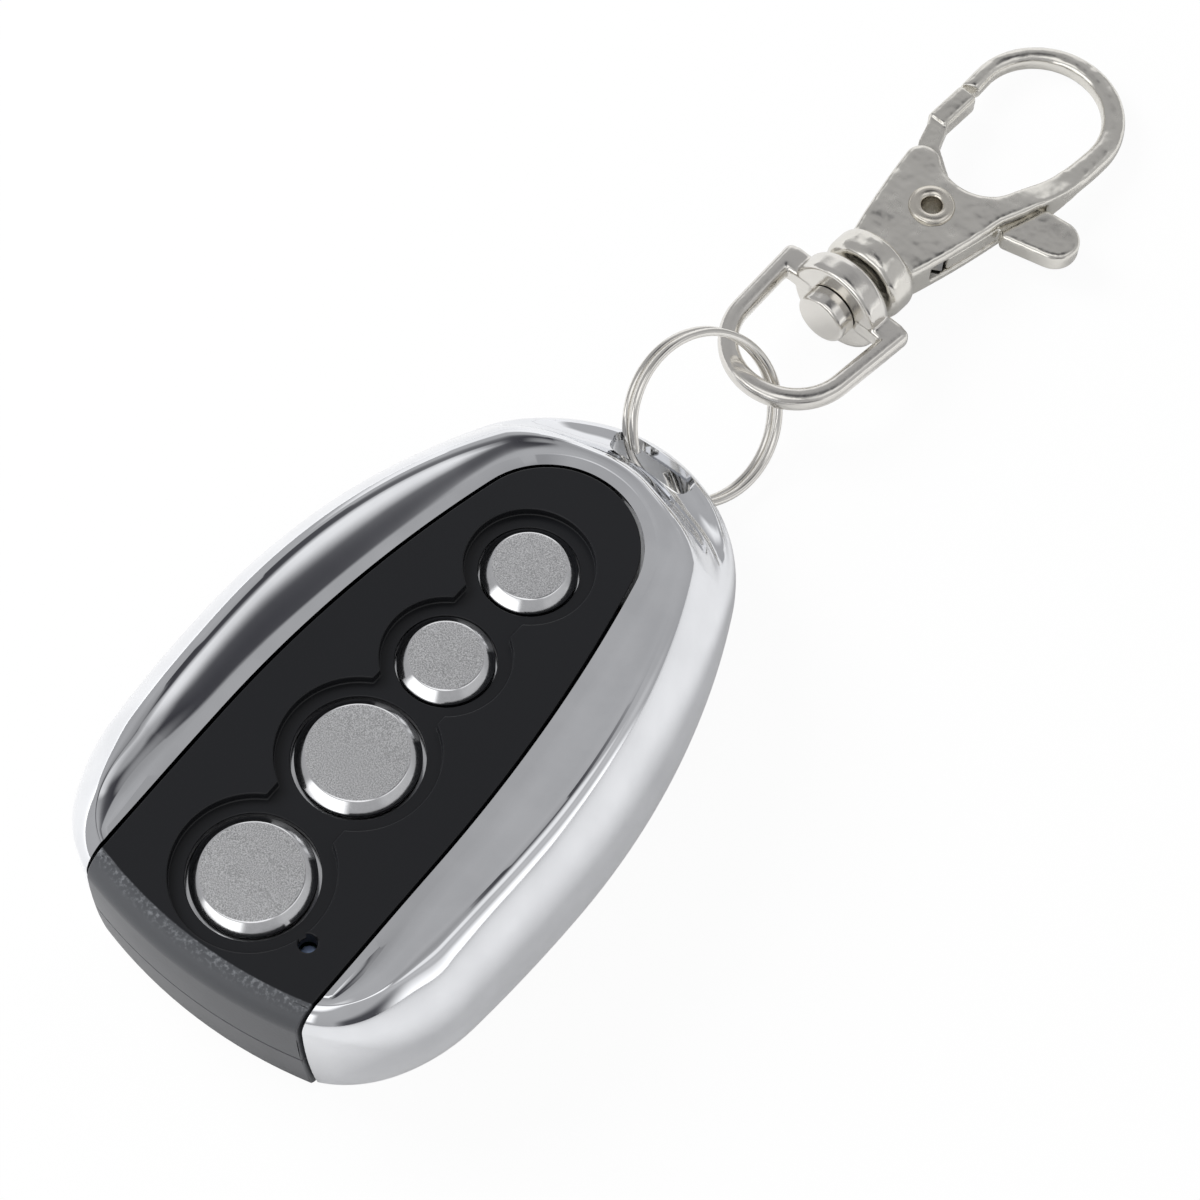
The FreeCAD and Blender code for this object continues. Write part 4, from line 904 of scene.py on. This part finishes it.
def makeFloor(s):
    bm = bmesh.new()
    bmesh.ops.create_grid(bm, x_segments=1, y_segments=1, size=s["floorSize"] / 2)
    mesh = bpy.data.meshes.new("studioFloor")
    bm.to_mesh(mesh)
    bm.free()
    floor = bpy.data.objects.new("studioFloor", mesh)
    f = Finish("floorFinish")
    tone = f.noise(0.02, 2.0)
    shades = [(s["floorColour"] + shift,) * 3 for shift in (-s["floorVary"], s["floorVary"])]
    matte = f.node("ShaderNodeBsdfDiffuse", None, {"Color": f.blend(tone, *shades)})
    white = f.node("ShaderNodeEmission", None, {"Color": (1, 1, 1, 1), "Strength": 1.0})
    share = 0
    for ray, amount in s["floorWhite"].items():
        share = f.node("ShaderNodeLightPath", out=ray) * amount + share
    mixed = f.node("ShaderNodeMixShader", None, {0: share, 1: matte, 2: white})
    f.tree.links.new(mixed.out, f.end.inputs["Surface"])
    mesh.materials.append(f.material)
    scene.collection.objects.link(floor)


class Sky(Finish):
    def __init__(self):
        self.world = bpy.data.worlds.new("studioWorld")
        self.world.use_nodes = True
        self.tree = self.world.node_tree
        self.tree.nodes.clear()
        self.end = self.tree.nodes.new("ShaderNodeOutputWorld")


def makeWorld(s):
    w = Sky()
    scene.world = w.world
    way = w.node("ShaderNodeTexCoord", out="Generated")
    height = w.node("ShaderNodeSeparateXYZ", None, {0: way}, out="Z")
    flat = w.node("ShaderNodeVectorMath", {"operation": "NORMALIZE"},
                  {0: w.node("ShaderNodeVectorMath", {"operation": "MULTIPLY"}, {0: way, 1: (1, 1, 0)})})
    stops = [(at, (level, level, level * 1.02)) for at, level in s["sky"]]
    light = w.node("ShaderNodeValToRGB", {"stops": stops}, {0: height})
    for azimuth, width, low, high, level, soft in s["boxes"]:
        az = math.radians(azimuth)
        turn = w.node("ShaderNodeVectorMath", {"operation": "DOT_PRODUCT"},
                      {0: flat, 1: (math.sin(az), -math.cos(az), 0)}, out="Value")
        across = turn.over(*(math.cos(math.radians(width / 2 + shift)) for shift in (soft, -soft)))
        above = height.over(*(math.sin(math.radians(low + shift)) for shift in (-soft, soft)))
        under = 1 - height.over(*(math.sin(math.radians(high + shift)) for shift in (-soft, soft)))
        amount = across * above * under * level
        light = w.node("ShaderNodeVectorMath", {"operation": "ADD"}, {0: light, 1: amount})
    background = w.node("ShaderNodeBackground", None, {"Color": light})
    w.tree.links.new(background.out, w.end.inputs["Surface"])


def makeKey(k):
    az, el = math.radians(k["azimuth"]), math.radians(k["elevation"])
    away = Vector((math.cos(el) * math.sin(az), -math.cos(el) * math.cos(az), math.sin(el)))
    data = bpy.data.lights.new("softKey", "AREA")
    data.shape = "DISK"
    data.size = k["size"]
    data.energy = k["power"]
    lamp = bpy.data.objects.new("softKey", data)
    lamp.visible_glossy = False
    turn = away.to_track_quat("Z", "Y").to_matrix().to_4x4()
    lamp.matrix_world = Matrix.Translation(away * k["distance"]) @ turn
    scene.collection.objects.link(lamp)


makeFloor(studio)
makeWorld(studio)
makeKey(studio["key"])
print("studio made")

bpy.context.view_layer.update()
